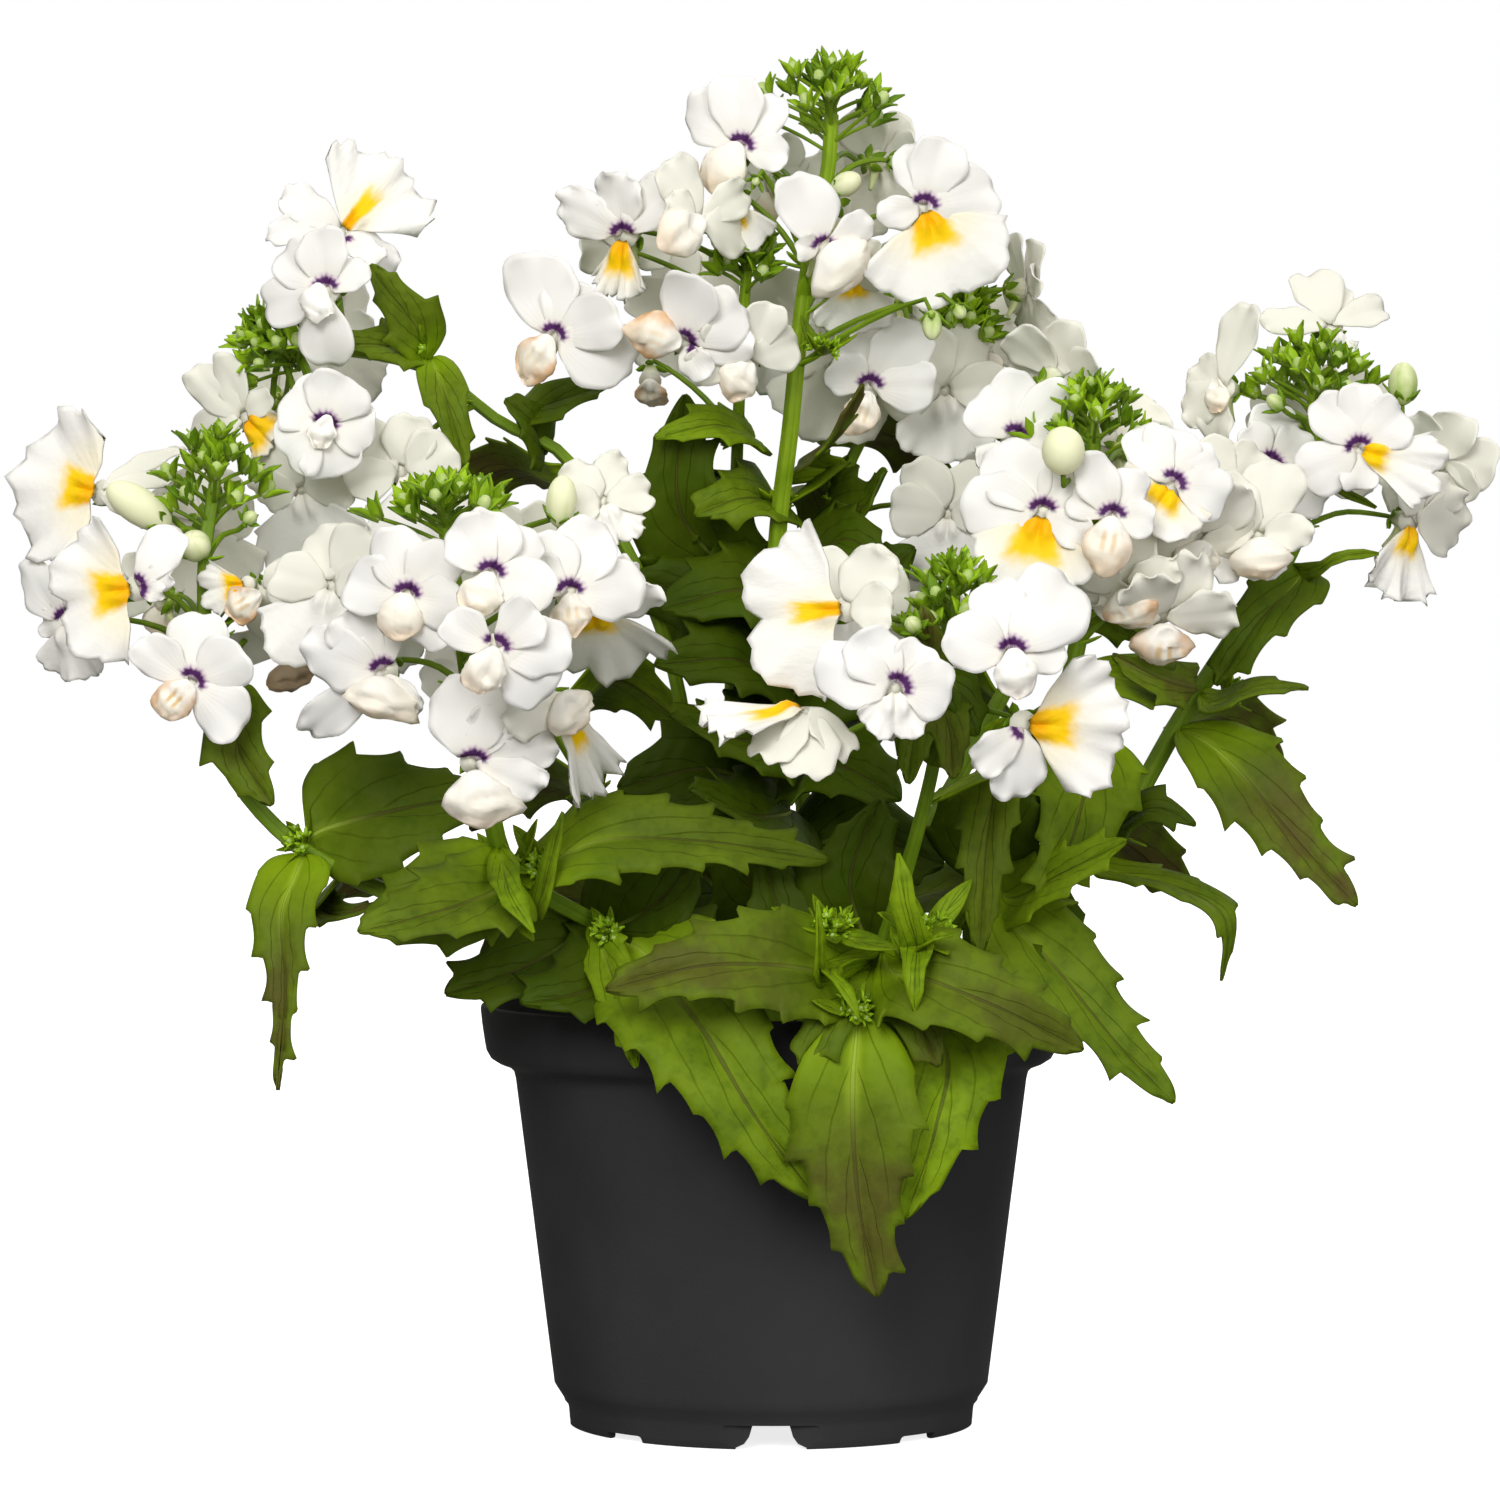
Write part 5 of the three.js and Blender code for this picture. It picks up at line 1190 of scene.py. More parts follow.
# %% The smaller and the hidden leaves
MORE_LEAVES = [
    ("far_left", [[-95, 122.5, -42], [-80, 127, -46], [-58, 131, -44]], 29, [0, -0.9, 0.4], 0.24),
    ("far_left", [[-113.1, 150.4, -52], [-110.6, 139, -58], [-104, 128.5, -60]], 14, [-0.2, -1, 0.2], 0.3),
    ("far_left", [[-94.4, 107.7, -34], [-88.8, 105.6, -46], [-80.4, 108.3, -50]], 11, [0, -0.7, 0.7], 0.4),
    ("left_centre", [[-37.7, 103.5, -40], [-50.2, 95.2, -50], [-67.9, 89, -52]], 22, [0, -0.8, 0.5], 0.15),
    ("left_centre", [[-55.4, 115, -56], [-69, 107.7, -62], [-85.2, 102.5, -60]], 24, [0, -0.8, 0.5], 0.55),
    ("left_centre", [[-35.6, 99.4, -48], [-31.5, 87.9, -62], [-28.1, 73.8, -66]], 10, [-0.3, -1, 0.2], 0.8),
    ("left_centre", [[-52.3, 107.7, -50], [-51.9, 103.5, -62], [-49.6, 100.4, -66]], 6, [0, -1, 0.3], 0.8),
    ("right_front", [[36.2, 77.5, -60], [34.2, 60.8, -66], [27.9, 42.1, -66]], 25, [0.1, -1, 0.1], 0.9),
    ("right_front", [[45.6, 134.8, -50], [44.6, 117.1, -58], [43.5, 97, -56]], 15, [0, -1, 0.15], 0.49),
    ("right_front", [[10.4, 93, -70], [10, 101, -78], [9.6, 108.5, -80]], 6, [0, -1, 0.2], 0.9),
    ("right_front", [[12, 94, -70], [15.5, 90, -78], [18.5, 84, -80]], 6, [0, -1, 0.2], 0.95),
    ("right_front", [[30.8, 97, -68], [28, 108, -78], [26.5, 118.5, -78]], 8, [0, -1, 0.2], 0.85),
    ("right_front", [[30.2, 100, -70], [30, 93, -80], [30, 85.5, -80]], 8, [0, -1, 0.2], 0.95),
    ("right_front", [[31, 99, -70], [34.5, 101, -78], [38, 101.5, -78]], 6, [0, -1, 0.2], 0.9),
    ("right_centre", [[65.4, 142.1, -26], [63.3, 123.3, -38], [56, 107.7, -42]], 22, [0.2, -1, 0.2], 0.7),
    ("right_centre", [[70, 124, -22], [80, 128, -26], [88.5, 124.5, -26]], 15, [0, -0.85, 0.6], 0.1),
    ("far_right", [[92.5, 149.4, -10], [100.8, 152.5, -16], [111.9, 152.9, -14]], 11, [0, -0.6, 0.8], 0.5),
    ("far_right", [[110.2, 176.5, -6], [101.9, 167.1, -14], [92.5, 153.5, -14]], 15, [-0.2, -1, 0.4], 0.25),
    ("right_centre", [[88.3, 152.5, -24], [81, 154.6, -34], [71, 159.8, -34]], 15, [0, -0.7, 0.7], 0.45),
    ("right_centre", [[50, 109, -34], [60, 114, -44], [74, 121, -46]], 16, [0, -0.9, 0.4], 0.85),
    ("upper_mid", [[-3.3, 204.6, 0], [-11.7, 207.7, -14], [-24.2, 205, -16]], 13, [0, -0.9, 0.5], 0.85),
    ("upper_mid", [[0.8, 191.9, 2], [-7.5, 192.1, -12], [-15.8, 188.7, -14]], 18, [0, -0.95, 0.3], 0.62),
    ("upper_right", [[6, 199.4, 0], [12.3, 204.6, -14], [19, 216, -24]], 12, [0.2, -1, 0.3], 0.4),
    ("upper_right", [[12.3, 192.1, 10], [19.6, 191, 0], [23.8, 198.3, -4]], 15, [0, -0.8, 0.5], 0.2),
    ("upper_mid", [[-14.8, 198.3, 8], [-15.8, 192.1, -2], [-16.9, 182.7, -2]], 12, [0, -1, 0.2], 0.1),
    ("upper_left", [[-71, 221.2, -16], [-66.9, 210.8, -24], [-63.5, 198.8, -24]], 10, [0.2, -1, 0.2], 0.55),
    ("upper_left", [[-72.1, 221.7, -14], [-81.5, 224.4, -22], [-90.2, 224.4, -26]], 11, [0, -0.8, 0.6], 0.5),
    ("upper_left", [[-52.3, 208.8, -8], [-44, 212.9, -14], [-33.5, 216, -12]], 12, [0, -0.7, 0.7], 0.2),
    ("upper_left", [[-47.1, 201.5, -6], [-50.2, 208.8, -14], [-55.4, 212.9, -16]], 13, [0, -0.8, 0.6], 0.15),
    ("crown", [[14.4, 235.8, -2], [14, 231.7, -8], [11.9, 225.8, -8]], 8, [0.3, -1, 0.2], 0.35),
    ("crown", [[4, 171.2, 2], [-7.5, 173.3, -18], [-23.1, 169.2, -24]], 26, [0, -0.8, 0.5], 0.12),
    ("crown", [[2.9, 152.5, 2], [-7.5, 158.8, -22], [-24.2, 157.7, -30]], 26, [0, -0.85, 0.5], 0.1),
    ("crown", [[1.9, 146.2, 0], [-6.5, 142.1, -24], [-21, 147.3, -32]], 24, [0, -0.9, 0.4], 0.2),
    ("crown", [[4, 127.5, -4], [-4.4, 126.5, -26], [-16.9, 131.7, -36]], 26, [0, -0.9, 0.4], 0.05),
    ("crown", [[6, 137.9, 0], [16.5, 135.8, -22], [26.9, 129.6, -34]], 26, [0, -0.9, 0.4], 0.1),
    ("crown", [[6, 179.6, 2], [16.5, 183.8, -10], [24.8, 177.5, -16]], 20, [0, -0.9, 0.5], 0.1),
    ("upper_mid", [[-5.4, 172.9, 8], [-19, 190, -6], [-18, 214, -12]], 25, [-0.1, -0.9, 0.3], 0.12),
    ("upper_mid", [[-6.5, 150.4, 8], [-2.3, 162.9, -14], [6, 160.8, -24]], 22, [0, -0.9, 0.4], 0.08),
    ("right_centre", [[43.5, 112.9, -24], [47.7, 129.6, -36], [54, 142.1, -40]], 24, [0, -0.9, 0.4], 0.15),
    ("right_front", [[20.6, 98.3, -48], [16.5, 112.9, -52], [22.7, 129.6, -54]], 24, [0, -0.9, 0.3], 0.08),
    ("right_front", [[14.4, 96.2, -46], [4, 102.5, -52], [-2.3, 119.2, -50]], 24, [0, -0.9, 0.3], 0.05),
    ("left_centre", [[-35.6, 101.5, -36], [-23.1, 108.8, -44], [-14.8, 119.2, -44]], 24, [0, -0.9, 0.3],
     0.08),
    ("left_centre", [[-27.3, 91, -34], [-14.8, 96.2, -46], [1.9, 93.1, -48]], 22, [0, -0.9, 0.4], 0.12),
    ("right_centre", [[39.4, 94.2, -24], [49.8, 96.2, -40], [58.1, 87.9, -46]], 22, [0.1, -0.9, 0.4], 0.12),
    ("left_centre", [[-30, 97, -40], [-38, 90, -56], [-52, 87, -60]], 26, [0, -0.8, 0.5], 0.08),
    ("left_centre", [[-25, 96, -40], [-20, 90, -58], [-12, 86, -62]], 22, [0, -0.9, 0.4], 0.08),
    ("left_centre", [[-56, 116, -64], [-54, 109, -76], [-49.5, 102, -80]], 7, [0, -1, 0.3], 0.9),
    ("left_centre", [[-49, 107, -62], [-46, 117, -68], [-43.5, 127, -70]], 6, [0, -1, 0.3], 0.75),
    ("right_front", [[28, 92, -56], [40, 88, -64], [55, 84, -64]], 20, [0, -0.9, 0.4], 0.08),
    ("right_front", [[14, 92, -62], [12, 84, -70], [6, 74, -72]], 16, [0, -1, 0.2], 0.55),
    ("crown", [[0, 160, 2], [-12, 170, -4], [-30, 176, -8]], 26, [0, -0.9, 0.4], 0.05),
    ("crown", [[0, 132, 0], [-14, 136, -8], [-32, 132, -12]], 28, [0, -0.95, 0.3], 0.03),
    ("crown", [[2, 150, 0], [14, 156, -6], [32, 154, -10]], 28, [0, -0.95, 0.3], 0.03),
    ("crown", [[3, 168, 0], [16, 170, -4], [30, 182, -6]], 24, [0, -0.9, 0.4], 0.06),
    ("crown", [[2, 118, 0], [18, 122, -8], [36, 116, -12]], 28, [0, -0.95, 0.3], 0.03),
    ("upper_mid", [[-10, 110, 4], [-18, 116, -6], [-34, 118, -10]], 28, [0, -0.95, 0.3], 0.03),
    ("right_centre", [[52, 126, -22], [60, 140, -26], [72, 150, -26]], 24, [0, -0.95, 0.3], 0.05),
    ("right_front", [[31, 138, -78], [33.5, 146, -84], [37, 153, -88]], 9, [0, -1, 0.2], 0.25),
    ("right_front", [[34, 150, -82], [30, 143, -88], [28.5, 133, -88]], 10, [0, -1, 0.2], 0.2),
    ("right_front", [[34, 152, -82], [37, 145, -88], [38, 134, -88]], 10, [0, -1, 0.2], 0.3),
    ("right_front", [[35, 156, -82], [33, 163, -88], [31.5, 170, -90]], 8, [0, -1, 0.2], 0.35),
    ("right_front", [[36, 156, -82], [40, 151, -86], [43, 143, -86]], 9, [0, -1, 0.2], 0.15),
    ("right_front", [[29, 90, -60], [31, 83, -70], [35, 74, -72]], 16, [0, -1, 0.2], 0.3),
    ("right_centre", [[44, 108, -20], [56, 104, -26], [66, 94, -30]], 24, [0, -0.95, 0.3], 0.06),
    ("crown", [[2, 104, 0], [-4, 112, -10], [-9, 126, -16]], 24, [0, -0.95, 0.3], 0.08),
    ("far_right", [[112.8, 177, -10], [119, 180.5, -14], [126.5, 181, -12]], 4, [0, -1, 0.3], 0.7),
    ("far_right", [[113, 198, -8], [119, 194, -14], [126, 190.5, -12]], 3.5, [0, -1, 0.3], 0.6),
    ("back_left", [[-27.3, 104.6, 44], [-44, 108.8, 62], [-60.6, 96.2, 68]], 26, [-0.3, 0.9, 0.4], 0.4),
    ("back_left", [[-35.6, 129.6, 58], [-48.1, 133.8, 76], [-62.7, 123.3, 80]], 24, [-0.3, 0.9, 0.5], 0.35),
    ("back_left", [[-39.8, 150.4, 68], [-31.5, 154.6, 84], [-19, 146.2, 92]], 22, [0, 1, 0.4], 0.5),
    ("back_left", [[-44, 162.9, 72], [-52.3, 162.9, 84], [-64.8, 167.1, 84]], 16, [0, 1, 0.5], 0.6),
    ("back_right", [[26.9, 108.8, 40], [43.5, 110.8, 60], [60.2, 96.2, 66]], 26, [0.3, 0.9, 0.4], 0.4),
    ("back_right", [[43.5, 137.9, 54], [56, 142.1, 72], [70.6, 129.6, 76]], 24, [0.3, 0.9, 0.5], 0.35),
    ("back_right", [[47.7, 150.4, 58], [39.4, 154.6, 78], [26.9, 146.2, 84]], 22, [0, 1, 0.4], 0.5),
    ("back_right", [[56, 167.1, 66], [66.5, 169.2, 80], [79, 162.9, 80]], 16, [0.1, 1, 0.5], 0.6),
    ("back_mid", [[6, 117.1, 60], [16.5, 121.2, 84], [26.9, 108.8, 96]], 24, [0.1, 1, 0.4], 0.45),
    ("back_mid", [[12.3, 137.9, 78], [1.9, 142.1, 96], [-10.6, 133.8, 102]], 22, [0, 1, 0.4], 0.4),
    ("back_mid", [[14.4, 146.2, 84], [24.8, 150.4, 98], [37.3, 144.2, 102]], 18, [0, 1, 0.5], 0.55),
    ("back_mid", [[6, 102.5, 52], [12.3, 96.2, 76], [18.5, 71.2, 86]], 26, [0.1, 1, 0.3], 0.5),
    ("upper_left", [[-44, 196.2, -4], [-56.5, 198.3, 16], [-71, 187.9, 22]], 18, [-0.2, 0.8, 0.6], 0.35),
    ("upper_right", [[14.4, 206.7, 14], [26.9, 204.6, 32], [39.4, 192.1, 36]], 18, [0.2, 0.9, 0.5], 0.35),
    ("crown", [[4, 192.1, 0], [10.2, 194.2, 24], [16.5, 179.6, 36]], 20, [0.1, 0.9, 0.4], 0.3),
    ("crown", [[2.9, 167.1, 2], [-8.5, 169.2, 28], [-23.1, 158.8, 42]], 24, [-0.1, 0.9, 0.4], 0.25),
    ("far_left", [[-69, 108.8, -34], [-77.3, 112.9, -16], [-91.9, 108.8, -8]], 22, [-0.3, 0.7, 0.7], 0.35),
    ("far_right", [[60.2, 119.2, -2], [72.7, 121.2, 16], [87.3, 108.8, 22]], 24, [0.3, 0.7, 0.6], 0.35),
    ("far_right", [[85.2, 146.2, -2], [95.6, 146.2, 14], [106, 135.8, 20]], 20, [0.3, 0.8, 0.5], 0.4),
]
print(len(LEAVES), "large leaves and", len(MORE_LEAVES), "more")

# %% Shaping a leaf
TOOTH = 3.4
TOOTH_SPACING = 9
NARROW = 9
RIB_POINTS = 49


def leaf_part(name, carrier, route, width, facing, tone):
    dice = random.Random(str(name))
    points = [on_sight_line(p) for p in route]
    start = nearest(carrier, points[0])
    start = start + unit(points[0] - start) * STEM_RADIUS * 0.6
    if math.dist(start, points[0]) > 0.5:
        points = [start, *points]
    rib = smooth_route(points, RIB_POINTS)
    shares = np.linspace(0, 1, RIB_POINTS)
    way = units(np.gradient(rib, axis=0))
    side = unit(np.cross(unit(np.array(facing, float)), unit(points[-1] - points[0])))
    normal = units(np.cross(way, side))
    length = np.linalg.norm(np.diff(rib, axis=0), axis=1).sum()
    phase, twist, wave = dice.uniform(0, 6), dice.uniform(-0.25, 0.25), dice.uniform(0.4, 1.0)
    teeth = max(3, round(length / TOOTH_SPACING)) if width > NARROW else 3
    waist, slim = (0.4, 1.75) if name == "left_drooping_leaf" else (dice.uniform(0.58, 0.66), 1.2)
    shift = {-1: dice.uniform(0, 0.5), 1: dice.uniform(0.4, 0.9)}

    def surface(s, t):
        along, edge = np.clip((t + 1) / 2, 0, 1), np.abs(s)
        blade = np.sin(np.pi * along ** waist) ** (slim - 0.45 * ease(along, 0.5, 0.95))
        step = along * teeth + np.where(s < 0, shift[-1], shift[1])
        saw = step % 1
        tooth = np.where(saw < 0.85, (saw / 0.85) ** 3, (1 - saw) / 0.15)
        tooth = tooth * (0.65 + 0.35 * np.sin(np.floor(step) * 2.4 + phase))
        tooth = tooth * ease(along, 0.1, 0.3) * ease(along, 1, 0.85) * TOOTH * min(1, width / 18)
        half = np.maximum(blade * (width / 2 - 0.6), 0.1 * (1 - along) * width / 2) + 0.3
        forward = np.clip(along + tooth * 0.012 * edge ** 3, 0, 1)
        across = s * half + np.sign(s) * tooth * edge ** 6
        vein = ((along * VEIN_COUNT - edge * VEIN_SLANT) % 1 - 0.5) * 2
        puff = (1 - np.exp(-(vein / 0.3) ** 2)) * ease(edge, 0, 0.25) * ease(1 - edge, 0, 0.3)
        rise = edge * half * 0.22 + puff * 0.03 * width * 0.7
        rise = rise + wave * np.sin(along * 9 + phase + s * 1.5) * edge ** 2 * blade
        rise = rise + across * twist * along - 0.35 * np.exp(-(across / 0.7) ** 2)
        rise = rise - 0.07 * half * edge ** 3
        spots = read_off(rib, shares, forward) + side * across[:, None]
        spots = spots + read_off(normal, shares, forward) * rise[:, None]
        marks = np.stack([s, along, np.full_like(s, tone)], axis=1)
        return np.concatenate([spots, marks], axis=1)

    blank = LEAF if width > NARROW else SMALL_LEAF
    return (*sheet(blank, surface, 0.5), leaf_look)


def carrier_of(name, stem):
    if name == "front_leaf_over_rim":
        return smooth_route([on_sight_line(p) for p in SIDE_SHOOT], 12)
    return stem_line(stem)


for name, (stem, *row) in LEAVES.items():
    part = leaf_part(name, carrier_of(name, stem), *row)
    make_piece(f"{name}_blade", [part], "leaf_green", name)
print("large leaves:", len(LEAVES))

# %% [markdown]
# ## Young shoots
# Where a pair of leaves joins a stem, a tuft of young leaves grows. It is a handful of small
# bright leaves that open from one point, with small knobs between them. Each row gives the
# stem, the place of the tuft, its size, and how many leaves it has.

# %% Tufts of young leaves
KNOB_COUNT = 10
SHOOTS = [
    ("upper_left", [-71, 223, -16], 16, 8), ("left_centre", [-54, 113, -56], 16, 9),
    ("left_centre", [-47, 115, -60], 14, 6), ("right_front", [12.3, 102, -62], 18, 10),
    ("right_front", [32, 101, -64], 18, 10), ("right_front", [17, 85, -70], 12, 9),
    ("left_centre", [-33.5, 101, -48], 12, 6), ("far_left", [-97, 120, -48], 14, 7),
    ("far_right", [94, 151, -2], 14, 8), ("right_centre", [52, 126, -28], 12, 7),
    ("upper_mid", [-8, 203, 4], 12, 7), ("crown", [2, 190, -2], 11, 7),
    ("back_left", [-36, 131, 58], 14, 8), ("back_right", [42, 141, 54], 14, 8),
    ("back_mid", [10, 123, 74], 14, 8), ("far_right", [71, 123, -4], 12, 7),
    ("upper_right", [13, 191, 12], 10, 6), ("far_left", [-61, 106, -38], 10, 6),
    ("crown", [10.5, 222, -22], 13, 8), ("crown", [24, 241, -18], 9, 6),
]


def shoot_parts(place, size, count, dice):
    centre = on_sight_line(place)
    outwards = unit(np.array([centre[0], centre[1], 60.0]))
    side = unit(np.cross(outwards, [0.3, 0.2, 1]))
    back = np.cross(outwards, side)
    parts = []

    def leaning(k, lean):
        return outwards * math.cos(lean) + spoke(side, back, k * GOLDEN_TURN) * math.sin(lean)

    for k in range(count):
        way = leaning(k, 0.35 + 0.75 * k / count)
        long = size * (0.35 + 0.5 * k / count) * dice.uniform(0.5, 1.2)
        parts.append(small_leaf(centre + way * 0.5, centre + way * long, max(long * 0.3, 1.6),
                                outwards - way * 0.6, dice.uniform(0.75, 1.0), SMALL_LEAF,
                                leaf_look, -0.12))
    for k in range(KNOB_COUNT):
        way = leaning(k, 0.3 + 0.09 * k)
        knob = centre + way * size * dice.uniform(0.1, 0.28)
        parts += bud_parts(knob, way, dice.uniform(0.7, 1.1), 0, dice.uniform(0.6, 1.0), dice)
    return parts


for stem in STEMS:
    dice = random.Random(stem + " leaves")
    parts = [leaf_part((stem, k), stem_line(stem), *row)
             for k, (leaf_stem, *row) in enumerate(MORE_LEAVES) if leaf_stem == stem]
    for shoot_stem, place, size, count in SHOOTS:
        if shoot_stem == stem:
            parts += shoot_parts(place, size, count, dice)
    piece = make_piece(f"{stem}_small_leaves", parts, "leaf_green")
    print(piece.name, faces_of(piece), "triangles")

# %% [markdown]
# ## The parts of a flower
# A nemesia flower is a short tube that opens into four rounded upper lobes and one broad lower
# lip. The lobes lie over each other like tiles, so each gets a layer of its own. In its first
# days the lip is folded up against the throat as a pouch, and later it opens into a ruffled fan
# with a yellow hump. We shape each part in the flower's own millimetres, with the throat at the
# origin and the face towards +Z, and turn the whole flower into its place afterwards.

# %% An upper lobe
FLARE = tube_blank(12, 4)


def rolled(x, y, turn):
    return [x * math.cos(turn) - y * math.sin(turn), x * math.sin(turn) + y * math.cos(turn)]


def upper_lobe(turn, long, wide, tilt, layer, shape, dice):
    wave, phase = dice.uniform(0.6, 1.5), dice.uniform(0, 6)
    notch, curl, cup = dice.uniform(0, 0.9), dice.uniform(-0.024, 0.012), dice.uniform(-0.035, 0.012)
    turn, lean, skew = math.radians(turn), math.tan(math.radians(tilt)), dice.uniform(-0.1, 0.1)
    frill, shift = shape.get("frill", dice.uniform(0, 0.5)), -FAR if shape.get("plain") else 0

    def surface(s, t):
        across = s * (1 - t * t / 2) ** 0.42
        up = t * (1 - s * s / 2) ** 0.42
        around, edge = np.arctan2(across, up), np.minimum(np.maximum(np.abs(s), np.abs(t)) ** 2, 1)
        rim = 1 + edge * (0.06 * np.sin(3 * around + phase) + 0.025 * np.sin(8 * around + phase * 2))
        along = (up * rim + 1) / 2
        x = across * rim * wide / 2 * (0.58 + 0.44 * ease(along, -0.05, 0.55)) + skew * along ** 2 * wide
        y = 0.9 + along * long - notch * np.exp(-((across * wide / 3.2) ** 2)) * along ** 6
        z = lean * (y - 0.9) + curl * (y - 0.9) ** 2 + layer - 1.1 * np.exp(-(y / 2.2) ** 2)
        z = z - 0.22 * np.exp(-((x / 0.9) ** 2)) * np.sin(np.pi * np.clip(along, 0, 1)) + cup * x ** 2
        z = z + wave * np.sin(3 * around + phase) * edge * along
        z = z + frill * 0.8 * np.sin(8 * around + phase) * edge ** 3 * along
        flat = rolled(x, y, turn)
        return np.stack([*flat, z, flat[0], flat[1] + shift, edge], axis=1)

    return sheet(LOBE, surface, 0.28, plain_back=True)


# %% An open lip
def open_lip(turn, shape, dice):
    long, opening = shape.get("long", 18), shape.get("opening", 60)
    lift, frill, fade = shape.get("lift", 0.2), shape.get("frill", 0.3), shape.get("fade", 0)
    phase, turn, narrow = dice.uniform(0, 6), math.radians(turn), shape.get("narrow", 0.9)
    fall = shape.get("round", 0.16)

    def surface(s, t):
        down = (1 - t) / 2
        angle = s * np.radians(44 + (opening - 44) * ease(down, 0, 0.5))
        far = long * (1 - fall * np.abs(s) ** 3 - 0.08 * np.exp(-(s / 0.1) ** 2)
                      + 0.035 * np.sin(s * 9 + phase) + 0.02 * (0.6 + frill) * np.sin(s * 29 + phase))
        reach = 1.2 + down * (far - 1.2)
        x, y = reach * np.sin(angle), -reach * np.cos(angle)
        hump = 1.8 * np.exp(-((np.abs(x) - 1.4) / 1.15) ** 2 - ((y + 3.6) / 2.2) ** 2)
        z = -0.9 + hump + lift * np.maximum(reach - 3.5, 0) - 0.008 * np.maximum(reach - 6, 0) ** 2
        z = z + (0.8 + frill * 0.8) * down ** 3 * np.sin(s * 8 + phase)
        z = z + (0.3 + frill * 0.9) * down ** 5 * np.sin(s * 21 + phase)
        edge = np.maximum(np.abs(s), down) ** 3
        seen = (y + 1.4) * 8 / (8 + max(-fade, 0)) - 1.4 - max(fade, 0)
        return np.stack([*rolled(x, y, turn), z, x * narrow, seen, edge], axis=1)

    return sheet(LIP, surface, 0.32, plain_back=True)


# %% A folded pouch
def folded_pouch(turn, shape, age, dice):
    """A ball, narrowed to a neck above, pulled out at its corners and creased."""
    usual = (dice.uniform(8.6, 10.2), dice.uniform(7.6, 9), 4.5)
    wide, tall, drop = shape.get("pouch", usual)
    right, front, up = BALL[0][:, 0], -BALL[0][:, 1], BALL[0][:, 2]
    x = wide / 2 * right * (1 - 0.3 * ease(up, 0, -1)) * (1 - 0.15 * ease(up, 0.5, 1))
    y = -drop + tall / 2 * up + 1.2 * ease(up, 0.7, 1)
    z = 1.2 + 0.31 * wide * front + 0.5 * up
    corners = [(dice.uniform(-spread, spread), dice.uniform(*reach))
               for spread, reach in ((60, (0.4, 1.2)), (150, (0.2, 0.8)), (150, (0.2, 0.8)))]
    if "corner" in shape:
        corners[0] = (shape["corner"], 3.4)
    for direction, reach in corners:
        way = (math.sin(math.radians(direction)), -math.cos(math.radians(direction)))
        pull = np.clip(right * way[0] + up * way[1], 0, 1) ** 12
        x, y = x + way[0] * reach * pull, y + way[1] * reach * pull
    ridge = np.exp(-((right / 0.2) ** 2)) * ease(front, 0, 0.7) * ease(up, -0.5, 0.5)
    dimple = np.exp(-(((np.abs(right) - 0.36) / 0.2) ** 2 + ((up - 0.3) / 0.25) ** 2))
    z = z + (0.5 if age > 0.4 else -0.6) * ridge - (0.5 + max(age, 0)) * dimple * ease(front, 0.2, 0.7)
    seed = Vector((drop * 3, tall * 5, wide * 7))
    swelling = np.exp(-((np.abs(right) - 0.42) / 0.3) ** 2 - ((up - 0.35) / 0.4) ** 2)
    z = z + swelling * ease(front, 0, 0.5) * wide * 0.06
    crease, fine = (np.array([abs(noise.noise(Vector(p) * scale + seed)) for p in BALL[0]])
                    for scale in (1.3, 2.6))
    x = x * (1 - 0.25 * fine)
    y, z = y - crease * 1.2 * front, z - (crease * 3.0 + fine * 1.2) * ease(front, -0.2, 0.6)
    return (np.stack([*rolled(x, y, math.radians(turn)), z], axis=1), BALL[1],
            np.stack([right, up, np.full_like(up, age)], axis=1))


# %% The tube and calyx behind a flower
def flower_back(dice):
    spots, faces, marks = tube(FLARE, [[0, 0, -FLOWER_BACK], [0, 0, -3.5], [0, 0, -1.5]], (1.4, 2.7))
    marks[:, 2] = FLARE[0][:, 2]
    spur = tube(STALK_TUBE, [[0, -1.4, -3.2], [0, -4, -4.2], [0, -6.6, -6.2]], (1.3, 0.5), 0, 0.3)
    made = [(spots, faces, marks, tube_look), (*spur, tube_look)]
    for k in range(SEPAL_COUNT):
        turn = math.radians(90 + 72 * k + dice.uniform(-8, 8))
        out = np.array([math.cos(turn), math.sin(turn), 0])
        root, tip = out * 0.8 + [0, 0, -6.6], out * dice.uniform(3.6, 4.6) + [0, 0, dice.uniform(-5, -3)]
        made.append(small_leaf(root, tip, 1.9, out * 0.3 - [0, 0, 1], 0.3, SEPAL, sepal_look, -0.1))
    return made


# %% The whole flower
USUAL_LOBES = [(-86, 12, 11.5), (-29, 13, 12), (29, 13, 12), (86, 12, 11.5)]
LAYERS = (0.4, -0.3, 0.05, 0.25, -0.5)


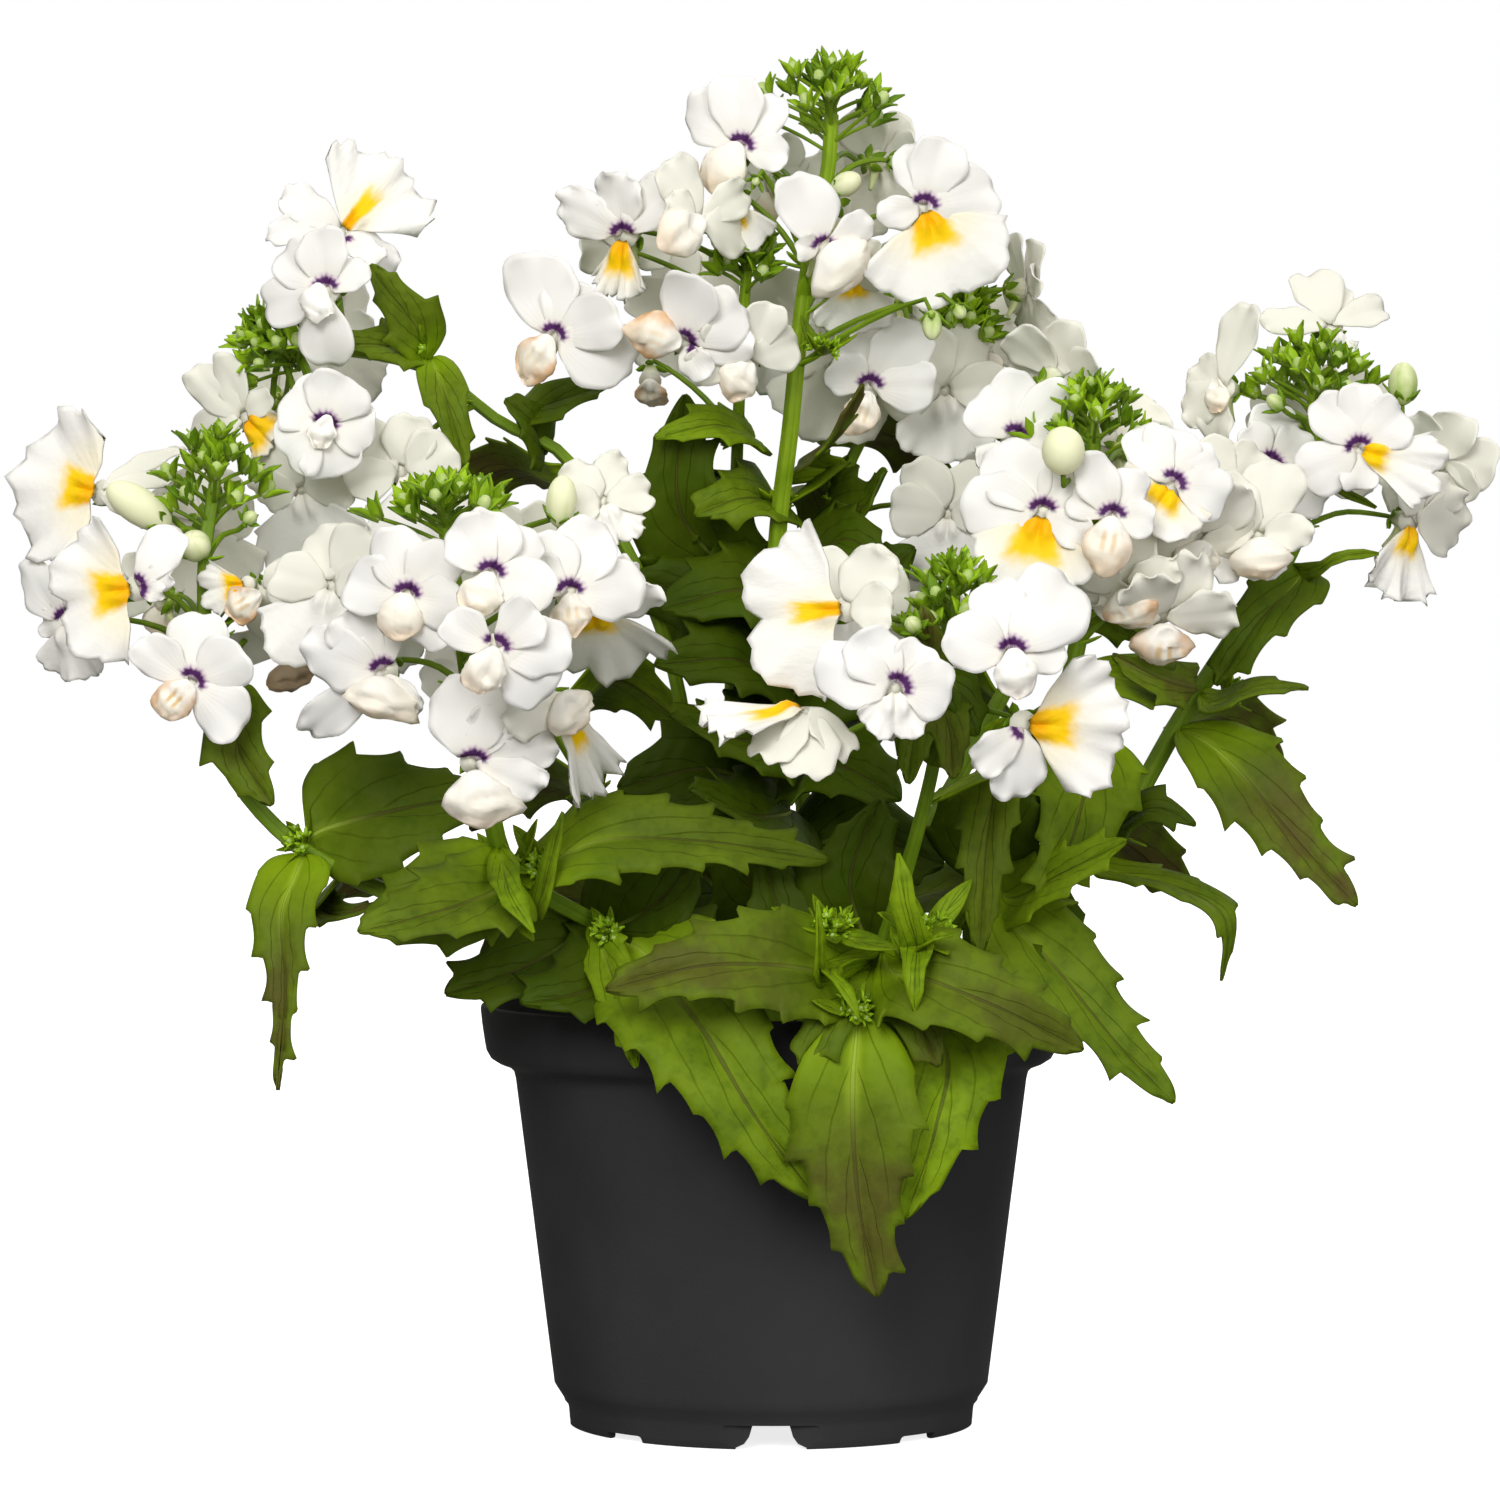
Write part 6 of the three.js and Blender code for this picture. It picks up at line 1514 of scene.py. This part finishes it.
def bloom_parts(seed, place, kind, size, turns, shape=None):
    dice = random.Random(str(seed))
    shape = shape or {}
    throat, ways = flower_frame(place, turns)
    made = flower_back(dice)
    lobes = shape.get("lobes")
    if lobes is None:
        lobes = [(turn + dice.uniform(-10, 10), long * dice.uniform(0.86, 1.1),
                  wide * dice.uniform(0.8, 1.1)) for turn, long, wide in USUAL_LOBES]
    age = shape.get("age", dice.choice([0, 0, 0.15, 0.35]))
    lip_turn = shape.get("lip", dice.uniform(-10, 10))
    if kind == "bud":
        wide, long, ripe = shape["bud"]
        ball = BALL[0]
        spots = ball * [wide / 2, wide / 2, long / 2] * (1 - 0.2 * ball[:, 2:])
        spots = spots + [0, 0, long / 2 - FLOWER_BACK]
        folds = np.abs(np.sin(2.5 * np.arctan2(ball[:, :1], ball[:, 1:2])))
        ripeness = ripe + 0.3 * ball[:, 2:] + 0.25 * folds
        made = [part for part in made if part[3] is not tube_look]
        made.append((spots, BALL[1], np.hstack([ball[:, :2], ripeness]), bud_look))
        lobes = []
    if kind == "open":
        made.append((*open_lip(lip_turn, shape, dice), lip_look))
    if kind == "pouch" or "pouch" in shape:
        made.append((*folded_pouch(lip_turn, shape, age, dice), pouch_look))
    for (turn, long, wide), layer in zip(lobes, LAYERS):
        tilt = shape.get("tilt", 0) + dice.uniform(-12, 8)
        made.append((*upper_lobe(turn, long, wide, tilt, layer, shape, dice), lobe_look))
    return [(throat + spots * size @ ways, faces, marks, look) for spots, faces, marks, look in made]


for stem, rows in BLOOMS.items():
    for number, row in enumerate(rows, 1):
        name = f"{stem}_flower_{number}"
        piece = make_piece(f"{name}_bloom", bloom_parts(name, *row), "petal_white", name)
print("a flower has", faces_of(piece), "triangles")

# %% The smaller flowers, one piece for each stem
for stem in STEMS:
    parts = []
    for k, (own_stem, *row) in enumerate(MORE_BLOOMS):
        if own_stem == stem:
            parts += bloom_parts((stem, k), *row)
    piece = make_piece(f"{stem}_smaller_blooms", parts, "petal_white")
    print(piece.name, faces_of(piece), "triangles")

# %% [markdown]
# ## Floor and light
# The plant stands on a plain pale floor in soft studio light. Most of it comes from all round, as
# in a white tent, brightest overhead and darker low down at both sides. One large lamp to the
# front and left gives the petals and leaves some shape, a weaker one fills the right side, and
# one behind lights their rims. The backdrop looks brighter to the camera than it shines on the
# plant, so that the plant keeps its shadows.

# %% Floor and lamps
FLOOR_GLOW = 0.8
bpy.ops.mesh.primitive_plane_add(size=16)
floor = bpy.context.object
floor.name = "studio_floor"
floor_look = new_look("studio_floor", 0.9, Specular_IOR_Level=0.1, Emission_Strength=FLOOR_GLOW)
floor_look.node_tree.nodes["Principled BSDF"].inputs["Emission Color"].default_value = (1, 1, 1, 1)
floor_tint = cloud(floor_look, 0.5, 2)
paint(mixed(floor_tint, colour(228, 228, 228), colour(232, 232, 232)))
floor.data.materials.append(floor_look)
floor.visible_diffuse = False
floor.visible_glossy = False


def add_lamp(name, place, power, width):
    bpy.ops.object.light_add(type="AREA", location=place)
    lamp = bpy.context.object
    lamp.name = name
    lamp.data.energy = power
    lamp.data.size = width
    lamp.rotation_euler = (Vector((0, 0, 0.15)) - lamp.location).to_track_quat("-Z", "Y").to_euler()


add_lamp("main_lamp", (-0.4, -1.6, 0.9), 18, 0.7)
add_lamp("fill_lamp", (0.8, -1.5, 0.5), 9, 1.0)
add_lamp("rim_lamp", (0.9, 0.9, 1.2), 4, 0.7)

# %% The white tent
TENT = (0.34, 0.77)
SIDE_SHADE = 0.85
world = bpy.data.worlds.new("white_tent")
bpy.context.scene.world = world
world.use_nodes = True
nodes = world.node_tree.nodes
join = world.node_tree.links.new
backdrop = nodes["Background"]
backdrop.inputs["Color"].default_value = (1, 1, 1, 1)
backdrop.inputs["Strength"].default_value = 1.0
tent = nodes.new("ShaderNodeBackground")
tent.inputs["Color"].default_value = (1, 0.985, 0.95, 1)
across, _, up = split(world, nodes.new("ShaderNodeTexCoord").outputs["Generated"])
glow = up.ramp(-0.2, 0.9, *TENT)
shade = across.size().ramp(0.35, 0.9, 0, SIDE_SHADE) * up.ramp(0.5, 0.1, 0, 1) * glow
feed(tent.inputs["Strength"], glow - shade)
both = nodes.new("ShaderNodeMixShader")
join(nodes.new("ShaderNodeLightPath").outputs["Is Camera Ray"], both.inputs[0])
join(tent.outputs[0], both.inputs[1])
join(backdrop.outputs[0], both.inputs[2])
join(both.outputs[0], nodes["World Output"].inputs["Surface"])
bpy.context.scene.view_settings.view_transform = "Standard"
print("lit by a white tent and three lamps")
